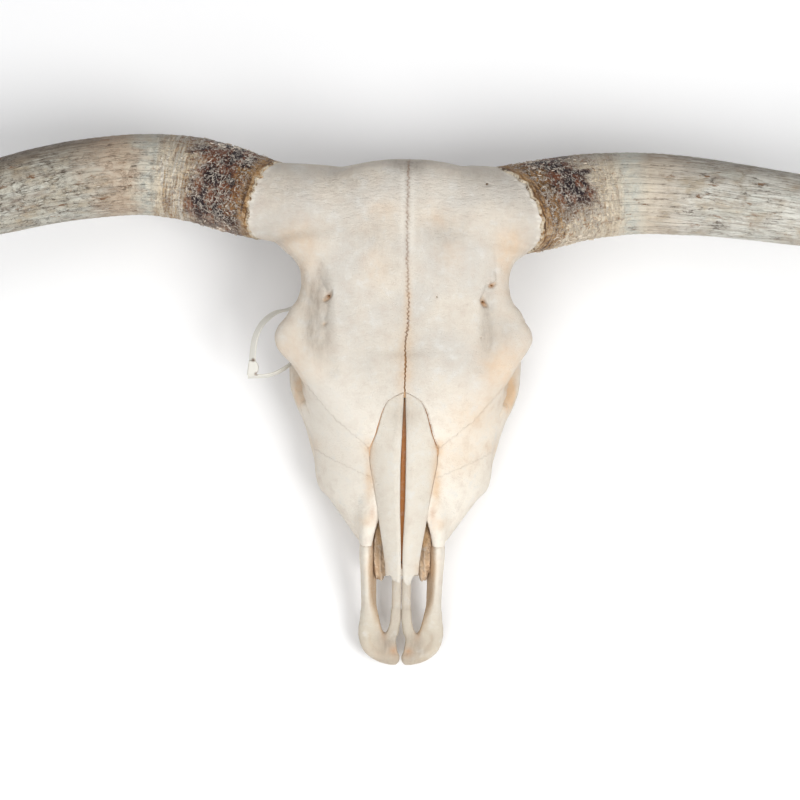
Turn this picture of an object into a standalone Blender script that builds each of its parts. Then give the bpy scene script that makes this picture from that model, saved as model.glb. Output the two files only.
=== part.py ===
"""Longhorn steer skull without its lower jaw, at rest on the floor.

The bones are modelled in the skull's own frame, in millimetres: x is across, y runs back (0 at the
poll, negative towards the nose) and z is up off the forehead. The mass of fused bone is lofted and
swept whole, then parted into its bones with thin cuts. An empty tips the finished skull forward
until the cheek teeth and the two processes behind the ears stand on the floor.
"""

import math

import bmesh
import bpy
import numpy as np
from mathutils import Matrix, Vector

# Driving sizes, in millimetres and degrees
SKULL_LENGTH = 512.0          # poll to the tip of the incisive bones, along the forehead
HORN_SPAN = 1480.0            # tip to tip
REST_TILT = 12.0              # how far the forehead slopes down to the nose when the skull lies still
POLL_HEIGHT = 181.0           # the poll's height over the floor
BACK_TO_CENTRE = 228.2        # from the poll to the middle of the footprint, along the floor
SUTURE_GAP = 0.3              # clearance between neighbouring bones
RING_SIDES = 28               # corners in a lofted section
SHARP_ANGLE = 35.0            # edges sharper than this stay crisp

# Fused skins: the grain in millimetres, rounds of smoothing, and triangles left
BONE_SKIN = (3.2, 8, 2450)
BONE_SMOOTHING_ONCE_CUT = 3
INCISIVE_SKIN = (1.6, 3, 400)
TURBINATE_SKIN = (2.5, 2, 110)

TABLE_LENGTH = 512.0          # the skull length that the tables below are drawn for
MM = 0.001 * SKULL_LENGTH / TABLE_LENGTH

BONE = ("bone", (0.86, 0.81, 0.72), 0.62)
HORN = ("horn", (0.55, 0.50, 0.42), 0.55)
INNER_BONE = ("inner_bone", (0.62, 0.45, 0.30), 0.75)
NYLON = ("nylon", (0.86, 0.87, 0.86), 0.35)

# Lofted bodies: (y, half width, top, level of the widest line, bottom). The forehead is not quite
# even, so it has a half width for the animal's right and another for its left. The powers say how
# square a section is above and below its widest line.
FOREHEAD_POWERS = (2.6, 3.0)
FACE_POWERS = (1.7, 2.6)
BRAINCASE_POWERS = (2.4, 2.2)
CAVITY_POWERS = (2.2, 2.4)
FOREHEAD = (
    (1, 22, 22, -26, -38, -50),
    (-1, 36, 36, -20, -38, -62),
    (-5, 54, 52, -12, -38, -74),
    (-10, 72, 68, -6, -38, -82),
    (-18, 84, 76, -2, -38, -86),
    (-45, 100, 88, 3, -38, -88),
    (-70, 114, 102, 4, -38, -84),
    (-84, 130, 116, 4, -38, -76),
    (-92, 125, 119, 4, -36, -70),
    (-102, 114, 109, 3, -32, -62),
    (-115, 107, 104, 3, -27, -56),
    (-127, 106, 103, 2, -22, -52),
    (-141, 109, 107, 1, -20, -49),
    (-157, 118, 116, 0, -19, -46),
    (-171, 129, 126, 1, -18, -43),
    (-180, 132, 128, 1, -18, -42),
    (-189, 131, 125, 1, -19, -42),
    (-198, 126, 120, 2, -21, -44),
    (-206, 118, 115, 3, -24, -47),
    (-216, 110, 109, 4, -28, -52),
    (-228, 102, 101, 5, -36, -58),
    (-250, 89, 88, 7, -48, -72),
)
FACE = (
    (-203, 92, 2, -66, -116),
    (-228, 106, 5, -72, -114),
    (-246, 107, 7, -74, -112),
    (-262, 101, 7, -73, -107),
    (-282, 94.5, 7, -70, -102),
    (-300, 90, 5, -68, -98),
    (-320, 86, 3, -66, -94),
    (-332, 83, 2, -65, -91),
    (-345, 74, 0, -62, -88),
    (-360, 63, -3, -58, -85),
    (-374, 53, -9, -56, -82),
    (-386, 44, -30, -58, -79),
    (-398, 31, -52, -64, -76),
    (-422, 24, -58, -65, -72),
)
BRAINCASE = (
    (-8, 52, -30, -80, -118),
    (-16, 70, -20, -84, -128),
    (-40, 78, -20, -88, -134),
    (-70, 70, -20, -84, -136),
    (-100, 60, -20, -78, -134),
    (-135, 52, -20, -74, -128),
    (-175, 46, -20, -70, -120),
    (-215, 44, -20, -72, -114),
)
NASAL_CAVITY = (
    (-256, 14, -18, -50, -76),
    (-275, 30, -12, -54, -86),
    (-300, 42, -8, -56, -88),
    (-330, 46, -7, -56, -84),
    (-350, 38, -2, -54, -79),
    (-362, 32, 4, -52, -76),
    (-380, 32, 8, -50, -72),
    (-410, 36, 16, -48, -66),
    (-445, 38, 20, -46, -60),
)

# Swept bars, one side: (x, y, z, half width, half height)
CHEEK_RIM = (                 # lower rim of the eye socket
    (113, -160, -68, 8, 10),
    (111, -182, -80, 8, 9),
    (110, -206, -85, 9, 10),
    (109, -226, -83, 9, 11),
    (101, -246, -78, 10, 12),
    (90, -264, -74, 10, 12),
)
POSTORBITAL_BAR = (
    (107, -157, -22, 9, 8),
    (110, -158, -44, 8, 8),
    (112, -160, -66, 8, 9),
    (109, -172, -84, 8, 9),
)
ZYGOMATIC_ARCH = (
    (109, -190, -86, 7, 10),
    (105, -160, -92, 6, 9),
    (101, -130, -95, 6, 9),
    (93, -104, -94, 8, 10),
    (76, -84, -91, 12, 13),
)
JUGULAR_PROCESS = (
    (58, -42, -112, 15, 18),
    (62, -38, -138, 11, 14),
    (62, -38, -162, 8, 10),
    (60, -41, -190, 6, 8),
)
SKULL_BASE = (
    (0, -18, -128, 24, 10),
    (0, -60, -137, 22, 9),
    (0, -100, -138, 18, 9),
    (0, -150, -128, 15, 12),
    (0, -200, -110, 14, 14),
)
PTERYGOID_PLATE = (
    (25, -128, -126, 5, 12),
    (25, -150, -127, 5, 16),
    (26, -178, -120, 5, 16),
    (30, -206, -112, 7, 12),
)
ALVEOLAR_RIDGE = (
    (50, -206, -112, 14, 15),
    (52, -250, -106, 15, 14),
    (50, -300, -97, 14, 13),
    (43, -340, -88, 11, 12),
    (36, -372, -80, 8, 9),
    (30, -396, -73, 6, 6),
)
SPINAL_OPENING = (
    (0, 20, -110, 18, 16),
    (0, -60, -104, 17, 16),
)
REAR_NOSTRIL = (
    (0, -120, -118, 17, 8),
    (0, -170, -112, 18, 17),
    (0, -215, -98, 16, 12),
)
CORE_ROOT = (44, -54, -44, 44, 40)      # where a horn's core grows out of the forehead

# Rounded lumps, one side: centre, then radii
GLENOID = ((74, -86, -98), (26, 24, 18))
CONDYLE = ((27, -17, -127), (17, 15, 20))
BULLA = ((42, -80, -140), (11, 19, 18))
FACIAL_TUBER = ((76, -318, -72), (10, 18, 12))
ORBIT = ((126, -196, -47), (62, 35, 29))
ORBIT_DEPTH = ((84, -186, -52), (40, 28, 24))
BEHIND_THE_BAR = ((87, -158, -62), (16, 27, 16))
TEMPORAL_FOSSA = ((108, -128, -70), (46, 30, 18))

# Horn cores and sheaths. Each side: where the sheath begins on the core, the way that joint faces,
# and the sheath's centre line as (distance across, y, z, radius).
HORN_JOINT = {
    "right": ((141, -42.5, -45), (0.88, 0.27, -0.36), 40.0),
    "left": ((100.5, -49.3, -45), (0.76, 0.36, -0.54), 45.0),
}
HORN_LINE = {
    "right": (
        (113.7, -49.1, -45, 39.6), (141.2, -42.5, -45, 40.6), (182.8, -30.8, -46, 42.7),
        (224.4, -20.6, -46, 42.4), (269.1, -17.4, -45, 41.1), (327, -23.4, -40, 40.2),
        (366.6, -31.1, -35, 39.2), (414.3, -44, -26, 37.8),
        (483, -60, -4, 33.5), (562, -74, 34, 27.8), (632, -78, 80, 21.2), (691, -72, 130, 13.5),
        (726, -62, 170, 7.5),
    ),
    "left": (
        (67, -55.1, -45, 45.2), (100.5, -49.1, -45, 46.2), (132, -43, -46, 45.7),
        (161.5, -36.4, -46, 44.5), (190.9, -31.8, -46, 43.2), (233.6, -28.7, -45, 41.4),
        (278.2, -30.4, -41, 40.3), (336.1, -36.4, -35, 37.4), (398.1, -44.7, -27, 35.2),
        (483, -60, -4, 31.5), (562, -74, 34, 26.4), (632, -78, 80, 20.3), (691, -72, 130, 13.0),
        (726, -62, 170, 7.3),
    ),
}
HORN_TIP = (HORN_SPAN / 2, -56, 188)
CORE_BLOCK = 140.0             # cuts the core at the joint without reaching the face
HORN_BLOCK = 1600.0            # keeps the whole sheath beyond the joint
HORN_SIDES = 16
HORN_RINGS = 21

# Nasal bones: (y, inner edge, outer edge, height at the inner edge, drop to the outer edge)
NASAL = (
    (-235, 0.6, 2.5, 8.5, 0.5),
    (-243, 0.9, 16.0, 8.8, 3.0),
    (-256, 1.4, 22.0, 9.0, 4.5),
    (-275, 2.0, 27.0, 9.0, 6.0),
    (-293, 2.4, 33.2, 8.5, 8.0),
    (-302, 2.6, 33.8, 8.0, 8.5),
    (-320, 2.6, 31.0, 7.0, 9.0),
    (-345, 2.4, 26.5, 5.0, 9.0),
    (-370, 1.6, 22.6, 2.5, 8.5),
    (-395, 0.8, 18.4, -1.0, 8.0),
    (-412, 0.7, 16.2, -4.0, 7.5),
    (-420, 0.8, 14.4, -5.5, 7.0),
    (-425, 2.0, 8.0, -6.5, 4.0),
)
NASAL_STATIONS = 15
NASAL_THICKNESS = 4.5
SOCKET_LEVELS = (-9.5, 60)     # the space that the nasal bones leave in the fused bone

# Incisive bones, one side, seen from above and swept
INCISIVE_OUTLINE = (
    (1.6, -508), (4.5, -511.5), (11, -511.5), (20, -509), (29, -504), (36, -497), (41, -489),
    (43, -481), (42, -472), (40.5, -458), (26, -458), (21.5, -472), (17, -483), (13.4, -476),
    (10.4, -467), (9.6, -456), (0.5, -456), (0.5, -466), (3.2, -476), (4.8, -487), (3.2, -498),
    (1.2, -503),
)
INCISIVE_LEVELS = (-59, -50)
INCISIVE_BAR = (
    (30.5, -474, -53, 9.5, 6),
    (32.2, -460, -51, 8.6, 8),
    (34.5, -441, -47, 6.4, 12),
    (35.3, -420, -42, 6.4, 16),
    (35.8, -398, -35, 7.4, 17),
    (34.8, -380, -28, 7.6, 15),
    (31.5, -365, -21, 5.5, 10),
    (28.5, -353, -13, 3, 5),
)
INCISIVE_RIM = (
    (7, -505, -54, 4.5, 5),
    (20, -503, -54, 5, 5.5),
    (34, -492, -54, 5.5, 5.5),
    (37, -474, -54, 5, 5.5),
)
PALATINE_BAR = (
    (6.4, -472, -55, 4.4, 3.8),
    (5.1, -450, -58, 4.7, 3.8),
    (5.1, -426, -62, 4.7, 3.8),
)
TURBINATE_LINE = (
    (16, -326, -46, 8, 20),
    (18.5, -356, -46, 9, 21),
    (19, -384, -45, 7.6, 18),
    (19, -408, -46, 6.3, 13),
    (20, -421, -48, 3, 8),
)
VOMER = ((-262, -30), (-300, -22), (-345, -20), (-392, -40), (-404, -56), (-404, -63.5), (-262, -78))
VOMER_THICKNESS = 3.0

# Cheek teeth, back to front: length, then breadth. Their line is (y, distance from the middle).
TEETH = ((27, 21), (27, 22), (24, 20), (18, 19), (18, 17), (14, 13))
TOOTH_CORNERS = 8
TEETH_BACK_Y = -209.0
TEETH_LINE = ((-209, 55), (-262, 57), (-300, 53), (-345, 44))
TOOTH_LEVELS = ((1.0, 24.0), (1.0, 10.0), (0.93, 0.0))      # share of the full size, height
TOOTH_SQUARENESS = 0.55
TOOTH_CLEARANCE = 0.4

# Nylon tie round the bar behind the right eye socket: (x, y, z) and the way its flat side faces
TIE_LINE = (
    ((-146.7, -217.2, -50), (0, -1, 0.15)),
    ((-140, -217.2, -52), (0, -1, 0.15)),
    ((-129, -213.5, -56), (0.2, -1, 0.1)),
    ((-117, -206, -59), (0.45, -0.9, 0.1)),
    ((-106, -196, -60), (0.75, -0.65, 0)),
    ((-98.5, -182, -60), (0.97, -0.25, 0)),
    ((-96, -166, -60), (1, 0, 0)),
    ((-98, -152, -60), (0.9, 0.4, 0)),
    ((-107, -144.5, -59), (0.3, 0.95, 0)),
    ((-119, -147, -57), (-0.3, 0.9, 0.2)),
    ((-130, -153, -51), (-0.35, 0.75, 0.5)),
    ((-141, -162, -44), (-0.5, 0.5, 0.7)),
    ((-149, -173, -41), (-0.6, 0.3, 0.75)),
    ((-153.5, -187, -42), (-0.6, 0.1, 0.8)),
    ((-154.8, -202.4, -47), (-0.5, 0, 0.86)),
)
TIE_STATIONS = 28
TIE_WIDTH = 7.6
TIE_THICKNESS = 1.6
TIE_HEAD_SIZE = (11.5, 14.5, 9.0)
TIE_HEAD_CENTRE = (-153.6, -211.3, -49.0)
TIE_HEAD_BEVEL = 1.2

# The blocks that part the fused bone, for each bone of one side in the order of parting: the axis
# that an outline is pushed along, the outline, and how far from and to. Points are (y, z) for x,
# (x, z) for y and (x, y) for z. Each bone takes its region from what is left by then.
SIDE_REGIONS = (
    ("frontal", (
        ("y", ((0, -57), (60, -57), (114, -102), (220, -102), (220, 60), (0, 60)), -112, 30),
        ("z", ((0, -100), (220, -100), (220, -150), (140, -205), (101, -226), (70, -262), (34, -291),
               (0, -300)), -52, 60),
    )),
    ("temporal", (
        ("x", ((-30, -40), (-30, -104), (-58, -124), (-58, -180), (-112, -180), (-140, -110),
               (-140, -40)), 32, 150),
    )),
    ("zygomatic", (
        ("x", ((-132, -40), (-132, -111), (-225, -111), (-292, -86), (-262, -68), (-226, -58),
               (-200, -40)), 66, 150),
    )),
    ("lacrimal", (
        ("z", ((33, -320), (20, -300), (20, -280), (60, -230), (60, -205), (140, -205), (140, -262),
               (93, -292), (72, -303)), -70, 60),
    )),
    ("maxilla", (
        ("x", ((-204, -84), (-204, -180), (-440, -180), (-440, 60), (-215, 60), (-215, -84)), 0, 150),
    )),
)
OCCIPITAL_REGION = (
    ("x", ((30, -40), (30, -220), (-52, -220), (-62, -40)), -150, 150),
)
BELOW_FLOOR = (-560, 60, 60, 200)       # the floor's block: its front, its back, its depth, half width


def clear_scene():
    for obj in list(bpy.data.objects):
        bpy.data.objects.remove(obj)


def material(kind):
    name, colour, roughness = kind
    made = bpy.data.materials.get(name)
    if made is None:
        made = bpy.data.materials.new(name)
        made.use_nodes = True
        shader = made.node_tree.nodes["Principled BSDF"]
        shader.inputs["Base Color"].default_value = (*colour, 1)
        shader.inputs["Roughness"].default_value = roughness
        shader.inputs["Metallic"].default_value = 0
    return made


def smooth_table(table, keys, samples):
    """The table's columns read at evenly spaced keys, without overshoot between its rows."""
    rows = np.array(table, float)
    keys = np.array(keys, float)
    slopes = np.diff(rows, axis=0) / np.diff(keys)[:, None]
    before, after = slopes[:-1], slopes[1:]
    same_way = before * after > 0
    total = np.where(same_way, before + after, 1.0)
    inner = np.where(same_way, 2 * before * after / total, 0.0)
    tangents = np.vstack([slopes[:1], inner, slopes[-1:]])
    at = np.linspace(keys[0], keys[-1], samples)
    index = np.clip(np.searchsorted(keys, at, side="right") - 1, 0, len(keys) - 2)
    width = (keys[index + 1] - keys[index])[:, None]
    t = (at[:, None] - keys[index][:, None]) / width
    start, end = rows[index], rows[index + 1]
    return (
        (2 * t**3 - 3 * t**2 + 1) * start
        + (t**3 - 2 * t**2 + t) * width * tangents[index]
        + (3 * t**2 - 2 * t**3) * end
        + (t**3 - t**2) * width * tangents[index + 1]
    )


def mesh_object(name, bm):
    """A hidden helper object from a bmesh in millimetres."""
    bmesh.ops.recalc_face_normals(bm, faces=bm.faces)
    mesh = bpy.data.meshes.new(name)
    bm.to_mesh(mesh)
    bm.free()
    obj = bpy.data.objects.new(name, mesh)
    bpy.context.scene.collection.objects.link(obj)
    obj.hide_render = True
    obj.display_type = "WIRE"
    return obj


def rings_to_object(name, rings):
    """Closes a list of rings of points into one skin with flat ends."""
    bm = bmesh.new()
    made = [[bm.verts.new(point) for point in ring] for ring in rings]
    for ring, following in zip(made, made[1:]):
        for i in range(len(ring)):
            j = (i + 1) % len(ring)
            bm.faces.new((ring[i], ring[j], following[j], following[i]))
    bm.faces.new(made[0])
    bm.faces.new(made[-1])
    return mesh_object(name, bm)


def loft(name, stations, powers, step=6.0):
    """Sections square to y, each with its own widths and its own top, widest and bottom level."""
    if len(stations[0]) == 5:
        stations = two_sided(stations)
    keys = [-station[0] for station in stations]
    count = max(3, round((keys[-1] - keys[0]) / step))
    rings = []
    for y, right, left, top, wide, bottom in smooth_table(stations, keys, count):
        ring = []
        for i in range(RING_SIDES):
            angle = 2 * math.pi * i / RING_SIDES
            across, up = math.cos(angle), math.sin(angle)
            power, reach = (powers[0], top - wide) if up > 0 else (powers[1], wide - bottom)
            x = (left if across > 0 else right) * math.copysign(abs(across) ** (2 / power), across)
            z = wide + reach * math.copysign(abs(up) ** (2 / power), up)
            ring.append((x, y, z))
        rings.append(ring)
    return rings_to_object(name, rings)


def sweep(name, line, side=1, sides=14, samples=18):
    """An oval bar along a line of (x, y, z, half width, half height), mirrored by side."""
    points = np.array([row[:3] for row in line], float)
    keys = np.concatenate([[0], np.cumsum(np.linalg.norm(np.diff(points, axis=0), axis=1))])
    rows = smooth_table(line, keys, samples)
    rows[:, 0] *= side
    centres = rows[:, :3]
    tangents = np.gradient(centres, axis=0)
    rings = []
    for centre, tangent, (half_width, half_height) in zip(centres, tangents, rows[:, 3:5]):
        forward = Vector(tangent).normalized()
        across = forward.cross(Vector((0, 0, 1)))
        if across.length < 0.3:
            across = forward.cross(Vector((0, 1, 0)))
        across.normalize()
        raised = across.cross(forward)
        ring = []
        for i in range(sides):
            angle = 2 * math.pi * i / sides
            offset = across * math.cos(angle) * half_width + raised * math.sin(angle) * half_height
            ring.append(Vector(centre) + offset)
        rings.append(ring)
    return rings_to_object(name, rings)


def ball(name, centre, radii, side=1):
    bm = bmesh.new()
    bmesh.ops.create_icosphere(bm, subdivisions=3, radius=1)
    place = Matrix.Translation((centre[0] * side, centre[1], centre[2])) @ Matrix.Diagonal((*radii, 1))
    bmesh.ops.transform(bm, matrix=place, verts=bm.verts)
    return mesh_object(name, bm)


def two_sided(stations):
    """The same half width on both sides of each station."""
    return [(row[0], row[1], *row[1:]) for row in stations]


def prism(name, outline, low, high, axis="z", side=1):
    """A flat outline pushed along an axis. Its points are (x, y) for z, (x, z) for y, (y, z) for x."""
    place = {
        "z": lambda a, b, level: (a * side, b, level),
        "y": lambda a, b, level: (a * side, level, b),
        "x": lambda a, b, level: (level * side, a, b),
    }[axis]
    rings = [[place(a, b, level) for a, b in outline] for level in (low, high)]
    return rings_to_object(name, rings)


def grown_outline(outline, by):
    """The outline with each edge moved out by the given distance."""
    points = [Vector(point) for point in outline]
    area = sum(a.x * b.y - b.x * a.y for a, b in zip(points, points[1:] + points[:1]))
    turn = 1 if area > 0 else -1
    moved = []
    for i, point in enumerate(points):
        into = (point - points[i - 1]).normalized()
        out_of = (points[(i + 1) % len(points)] - point).normalized()
        normals = [Vector((edge.y, -edge.x)) * turn for edge in (into, out_of)]
        middle = (normals[0] + normals[1]).normalized()
        moved.append(tuple(point + middle * by / max(0.3, middle.dot(normals[0]))))
    return moved


def remove(*objects):
    for obj in objects:
        bpy.data.objects.remove(obj)


def evaluated_copy(obj, name):
    """A new helper object with obj's modifiers worked in."""
    graph = bpy.context.evaluated_depsgraph_get()
    mesh = bpy.data.meshes.new_from_object(obj.evaluated_get(graph))
    copy = bpy.data.objects.new(name, mesh)
    bpy.context.scene.collection.objects.link(copy)
    copy.hide_render = True
    copy.display_type = "WIRE"
    return copy


def fuse(name, objects, grain, smoothing):
    """Grows overlapping bodies into one skin and rounds where they meet."""
    bm = bmesh.new()
    for obj in objects:
        bm.from_mesh(obj.data)
    joined = mesh_object(name + "_bodies", bm)
    skin = joined.modifiers.new("skin", "REMESH")
    skin.mode = "VOXEL"
    skin.voxel_size = grain
    relax = joined.modifiers.new("relax", "SMOOTH")
    relax.factor = 0.5
    relax.iterations = smoothing
    made = evaluated_copy(joined, name)
    remove(joined, *objects)
    return made


def largest_body(obj):
    """Drops the crumbs that a cut leaves beside the main piece."""
    bm = bmesh.new()
    bm.from_mesh(obj.data)
    unseen = set(bm.verts)
    bodies = []
    while unseen:
        start = unseen.pop()
        body = {start}
        edge_of_growth = [start]
        while edge_of_growth:
            for edge in edge_of_growth.pop().link_edges:
                for vert in edge.verts:
                    if vert in unseen:
                        unseen.discard(vert)
                        body.add(vert)
                        edge_of_growth.append(vert)
        bodies.append(body)
    largest = max(bodies, key=len)
    crumbs = [vert for body in bodies if body is not largest for vert in body]
    bmesh.ops.delete(bm, geom=crumbs, context="VERTS")
    bm.to_mesh(obj.data)
    bm.free()
    return obj


def boolean(target, tool, operation):
    """target after the operation with tool; target itself is used up, tool is kept."""
    cut = target.modifiers.new("cut", "BOOLEAN")
    cut.operation = operation
    cut.object = tool
    cut.solver = "EXACT"
    made = evaluated_copy(target, target.name + "_cut")
    name = target.name
    remove(target)
    made.name = name
    return made


def duplicate(obj, name):
    copy = bpy.data.objects.new(name, obj.data.copy())
    bpy.context.scene.collection.objects.link(copy)
    copy.hide_render = True
    copy.display_type = "WIRE"
    return copy


def swollen(obj, by):
    """A copy whose skin stands off by the given distance, as the cutter for a close fit."""
    copy = duplicate(obj, obj.name + "_swollen")
    push = copy.modifiers.new("push", "DISPLACE")
    push.strength = by
    push.mid_level = 0
    made = evaluated_copy(copy, obj.name + "_cutter")
    remove(copy)
    return made


def thinned(obj, faces):
    """obj with about that many triangles."""
    triangles = sum(len(polygon.vertices) - 2 for polygon in obj.data.polygons)
    thin = obj.modifiers.new("thin", "DECIMATE")
    thin.ratio = min(1.0, faces / triangles)
    made = evaluated_copy(obj, obj.name + "_thin")
    name = obj.name
    remove(obj)
    made.name = name
    return made


def tooth_x(y):
    keys = [-row[0] for row in TEETH_LINE]
    return float(np.interp(-y, keys, [row[1] for row in TEETH_LINE]))


def floor_level(y):
    """The floor's height in the skull's frame."""
    tilt = math.radians(REST_TILT)
    return -(POLL_HEIGHT + y * math.sin(tilt)) / math.cos(tilt)


def tooth_row(side):
    """Six crowns in one object, each a block that narrows towards its worn face."""
    row = bmesh.new()
    y = TEETH_BACK_Y
    for length, breadth in TEETH:
        centre_y = y - length / 2
        x = tooth_x(centre_y)
        rings = []
        for share, lift in TOOTH_LEVELS:
            half_length = length / 2 * share - TOOTH_CLEARANCE
            half_breadth = breadth / 2 * share
            ring = []
            for i in range(TOOTH_CORNERS):
                angle = 2 * math.pi * (i + 0.5) / TOOTH_CORNERS
                across, along = math.cos(angle), math.sin(angle)
                at_y = centre_y + half_length * math.copysign(abs(along) ** TOOTH_SQUARENESS, along)
                at_x = x + half_breadth * math.copysign(abs(across) ** TOOTH_SQUARENESS, across)
                ring.append((side * at_x, at_y, floor_level(at_y) + lift))
            rings.append(ring)
        crown = rings_to_object("crown", rings)
        row.from_mesh(crown.data)
        remove(crown)
        y -= length
    return mesh_object("teeth", row)


def horn_core(which, side):
    """The frontal bone's outgrowth, up to the joint with the sheath."""
    (x, y, z), _, radius = HORN_JOINT[which]
    line = (
        CORE_ROOT,
        (x * 0.62, (y + CORE_ROOT[1]) / 2, z + 1, radius + 3, radius + 1),
        (x, y, z, radius, radius),
        (x + 30, y + 8, z, radius, radius),
    )
    return sweep("core_" + which, line, side, sides=24, samples=12)


def joint_cut(which, side, clearance, reach):
    """A block that covers all that lies beyond the joint between core and sheath."""
    centre, facing, _ = HORN_JOINT[which]
    normal = Vector((facing[0] * side, facing[1], facing[2])).normalized()
    start = Vector((centre[0] * side, centre[1], centre[2])) + normal * clearance
    turn = normal.to_track_quat("Z", "Y").to_matrix().to_4x4()
    bm = bmesh.new()
    bmesh.ops.create_cube(bm, size=1)
    block = Matrix.Translation(start) @ turn @ Matrix.Diagonal((reach, reach, reach, 1))
    bmesh.ops.transform(bm, matrix=block @ Matrix.Translation((0, 0, 0.5)), verts=bm.verts)
    return mesh_object("beyond_" + which, bm)


def below_floor():
    """A slab of everything under the floor, which flattens what stands on it."""
    front, back, depth, half_width = BELOW_FLOOR
    outline = (
        (back, floor_level(back)),
        (front, floor_level(front)),
        (front, floor_level(front) - depth),
        (back, floor_level(back) - depth),
    )
    return prism("below_floor", outline, -half_width, half_width, "x")


def fused_bone():
    """All the bone that grows together, in one skin, before its openings are cut."""
    bodies = [
        loft("forehead", FOREHEAD, FOREHEAD_POWERS),
        loft("face", FACE, FACE_POWERS),
        loft("braincase", BRAINCASE, BRAINCASE_POWERS),
        sweep("base", SKULL_BASE),
    ]
    for side, which in ((-1, "right"), (1, "left")):
        bodies += [
            horn_core(which, side),
            sweep("cheek_rim", CHEEK_RIM, side),
            sweep("bar", POSTORBITAL_BAR, side),
            sweep("arch", ZYGOMATIC_ARCH, side),
            sweep("jugular", JUGULAR_PROCESS, side),
            sweep("pterygoid", PTERYGOID_PLATE, side),
            sweep("alveolar", ALVEOLAR_RIDGE, side),
            ball("glenoid", *GLENOID, side),
            ball("condyle", *CONDYLE, side),
            ball("bulla", *BULLA, side),
            ball("tuber", *FACIAL_TUBER, side),
        ]
    return fuse("bone", bodies, *BONE_SKIN[:2])


def openings():
    """The eye sockets, temporal hollows, nasal cavity, rear nostrils and spinal opening."""
    made = [
        loft("nasal_cavity", NASAL_CAVITY, CAVITY_POWERS),
        sweep("spinal_opening", SPINAL_OPENING, samples=4),
        sweep("rear_nostril", REAR_NOSTRIL),
    ]
    for side in (-1, 1):
        made += [
            ball("orbit", *ORBIT, side),
            ball("orbit_depth", *ORBIT_DEPTH, side),
            ball("behind_bar", *BEHIND_THE_BAR, side),
            ball("fossa", *TEMPORAL_FOSSA, side),
        ]
    return made


def nasal_outline():
    """Both nasal bones' plan, from the forehead to their free tips."""
    keys = [-row[0] for row in NASAL]
    left = [(row[2], row[0]) for row in smooth_table(NASAL, keys, NASAL_STATIONS)]
    return left + [(-x, y) for x, y in reversed(left)]


def nasal_bone(which, side):
    """A long arched plate, lapped by its neighbours at the back and free at the front."""
    keys = [-row[0] for row in NASAL]
    rings = []
    for y, inner, outer, height, drop in smooth_table(NASAL, keys, NASAL_STATIONS):
        top = []
        under = []
        for share in (0.0, 0.25, 0.5, 0.75, 1.0):
            x = side * (inner + (outer - inner) * share)
            z = height - drop * share**2 - (1.2 if share == 0 else 0)
            top.append((x, y, z))
            under.append((x, y, z - NASAL_THICKNESS * (0.75 if share in (0.0, 1.0) else 1.0)))
        rings.append(top + under[::-1])
    return rings_to_object("nasal_" + which, rings)


def incisive_bone(which, side):
    parts = [
        prism("body", INCISIVE_OUTLINE, *INCISIVE_LEVELS, side=side),
        sweep("bar", INCISIVE_BAR, side),
        sweep("rim", INCISIVE_RIM, side),
        sweep("palatine", PALATINE_BAR, side),
    ]
    grain, smoothing, faces = INCISIVE_SKIN
    return thinned(fuse("incisive_" + which, parts, grain, smoothing), faces)


def turbinate(which, side):
    """A scroll of porous bone in the nose, here as one plain bar."""
    grain, smoothing, faces = TURBINATE_SKIN
    scroll = sweep("scroll", TURBINATE_LINE, side)
    return thinned(fuse("turbinate_" + which, [scroll], grain, smoothing), faces)


def sheath(which, side):
    """The hollow keratin horn, closed here where the core fills it."""
    line = np.array([*HORN_LINE[which], (*HORN_TIP, 2.5)], float)
    keys = np.concatenate([[0], np.cumsum(np.linalg.norm(np.diff(line[:, :3], axis=0), axis=1))])
    rows = smooth_table(line, keys, HORN_RINGS)
    swept = [(x, y, z, radius, radius) for x, y, z, radius in rows]
    return sweep("horn_" + which, swept, side, sides=HORN_SIDES, samples=HORN_RINGS)


def strap(name, line, samples):
    """The tie's flat band along its line, facing the way each row says."""
    points = np.array([row[0] for row in line], float)
    facings = np.array([row[1] for row in line], float)
    keys = np.concatenate([[0], np.cumsum(np.linalg.norm(np.diff(points, axis=0), axis=1))])
    rows = smooth_table(np.hstack([points, facings]), keys, samples)
    tangents = np.gradient(rows[:, :3], axis=0)
    rings = []
    for row, tangent in zip(rows, tangents):
        forward = Vector(tangent).normalized()
        face = Vector(row[3:])
        face = (face - forward * face.dot(forward)).normalized()
        across = forward.cross(face) * TIE_WIDTH / 2
        face *= TIE_THICKNESS / 2
        centre = Vector(row[:3])
        rings.append([centre - across - face, centre + across - face, centre + across + face,
                      centre - across + face])
    return rings_to_object(name, rings)


def tie_head():
    """The tie's lock, a rounded block that both ends of the band meet."""
    bm = bmesh.new()
    bmesh.ops.create_cube(bm, size=1)
    bmesh.ops.scale(bm, vec=TIE_HEAD_SIZE, verts=bm.verts)
    bmesh.ops.bevel(bm, geom=bm.edges, offset=TIE_HEAD_BEVEL, segments=2, affect="EDGES")
    bmesh.ops.translate(bm, vec=TIE_HEAD_CENTRE, verts=bm.verts)
    return mesh_object("tie_head", bm)


def region(name, blocks, side, grow):
    """The closed space that a bone takes, from overlapping prisms."""
    made = None
    for axis, outline, low, high in blocks:
        middle = SUTURE_GAP / 2 - grow
        start = middle if low == 0 else low - grow
        shape = grown_outline(outline, grow)
        if axis != "x":
            shape = [(max(a, middle), b) for a, b in shape]
        block = prism(name + "_block", shape, start, high + grow, axis, side)
        if made is None:
            made = block
        else:
            made = boolean(made, block, "UNION")
            remove(block)
    return made


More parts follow.
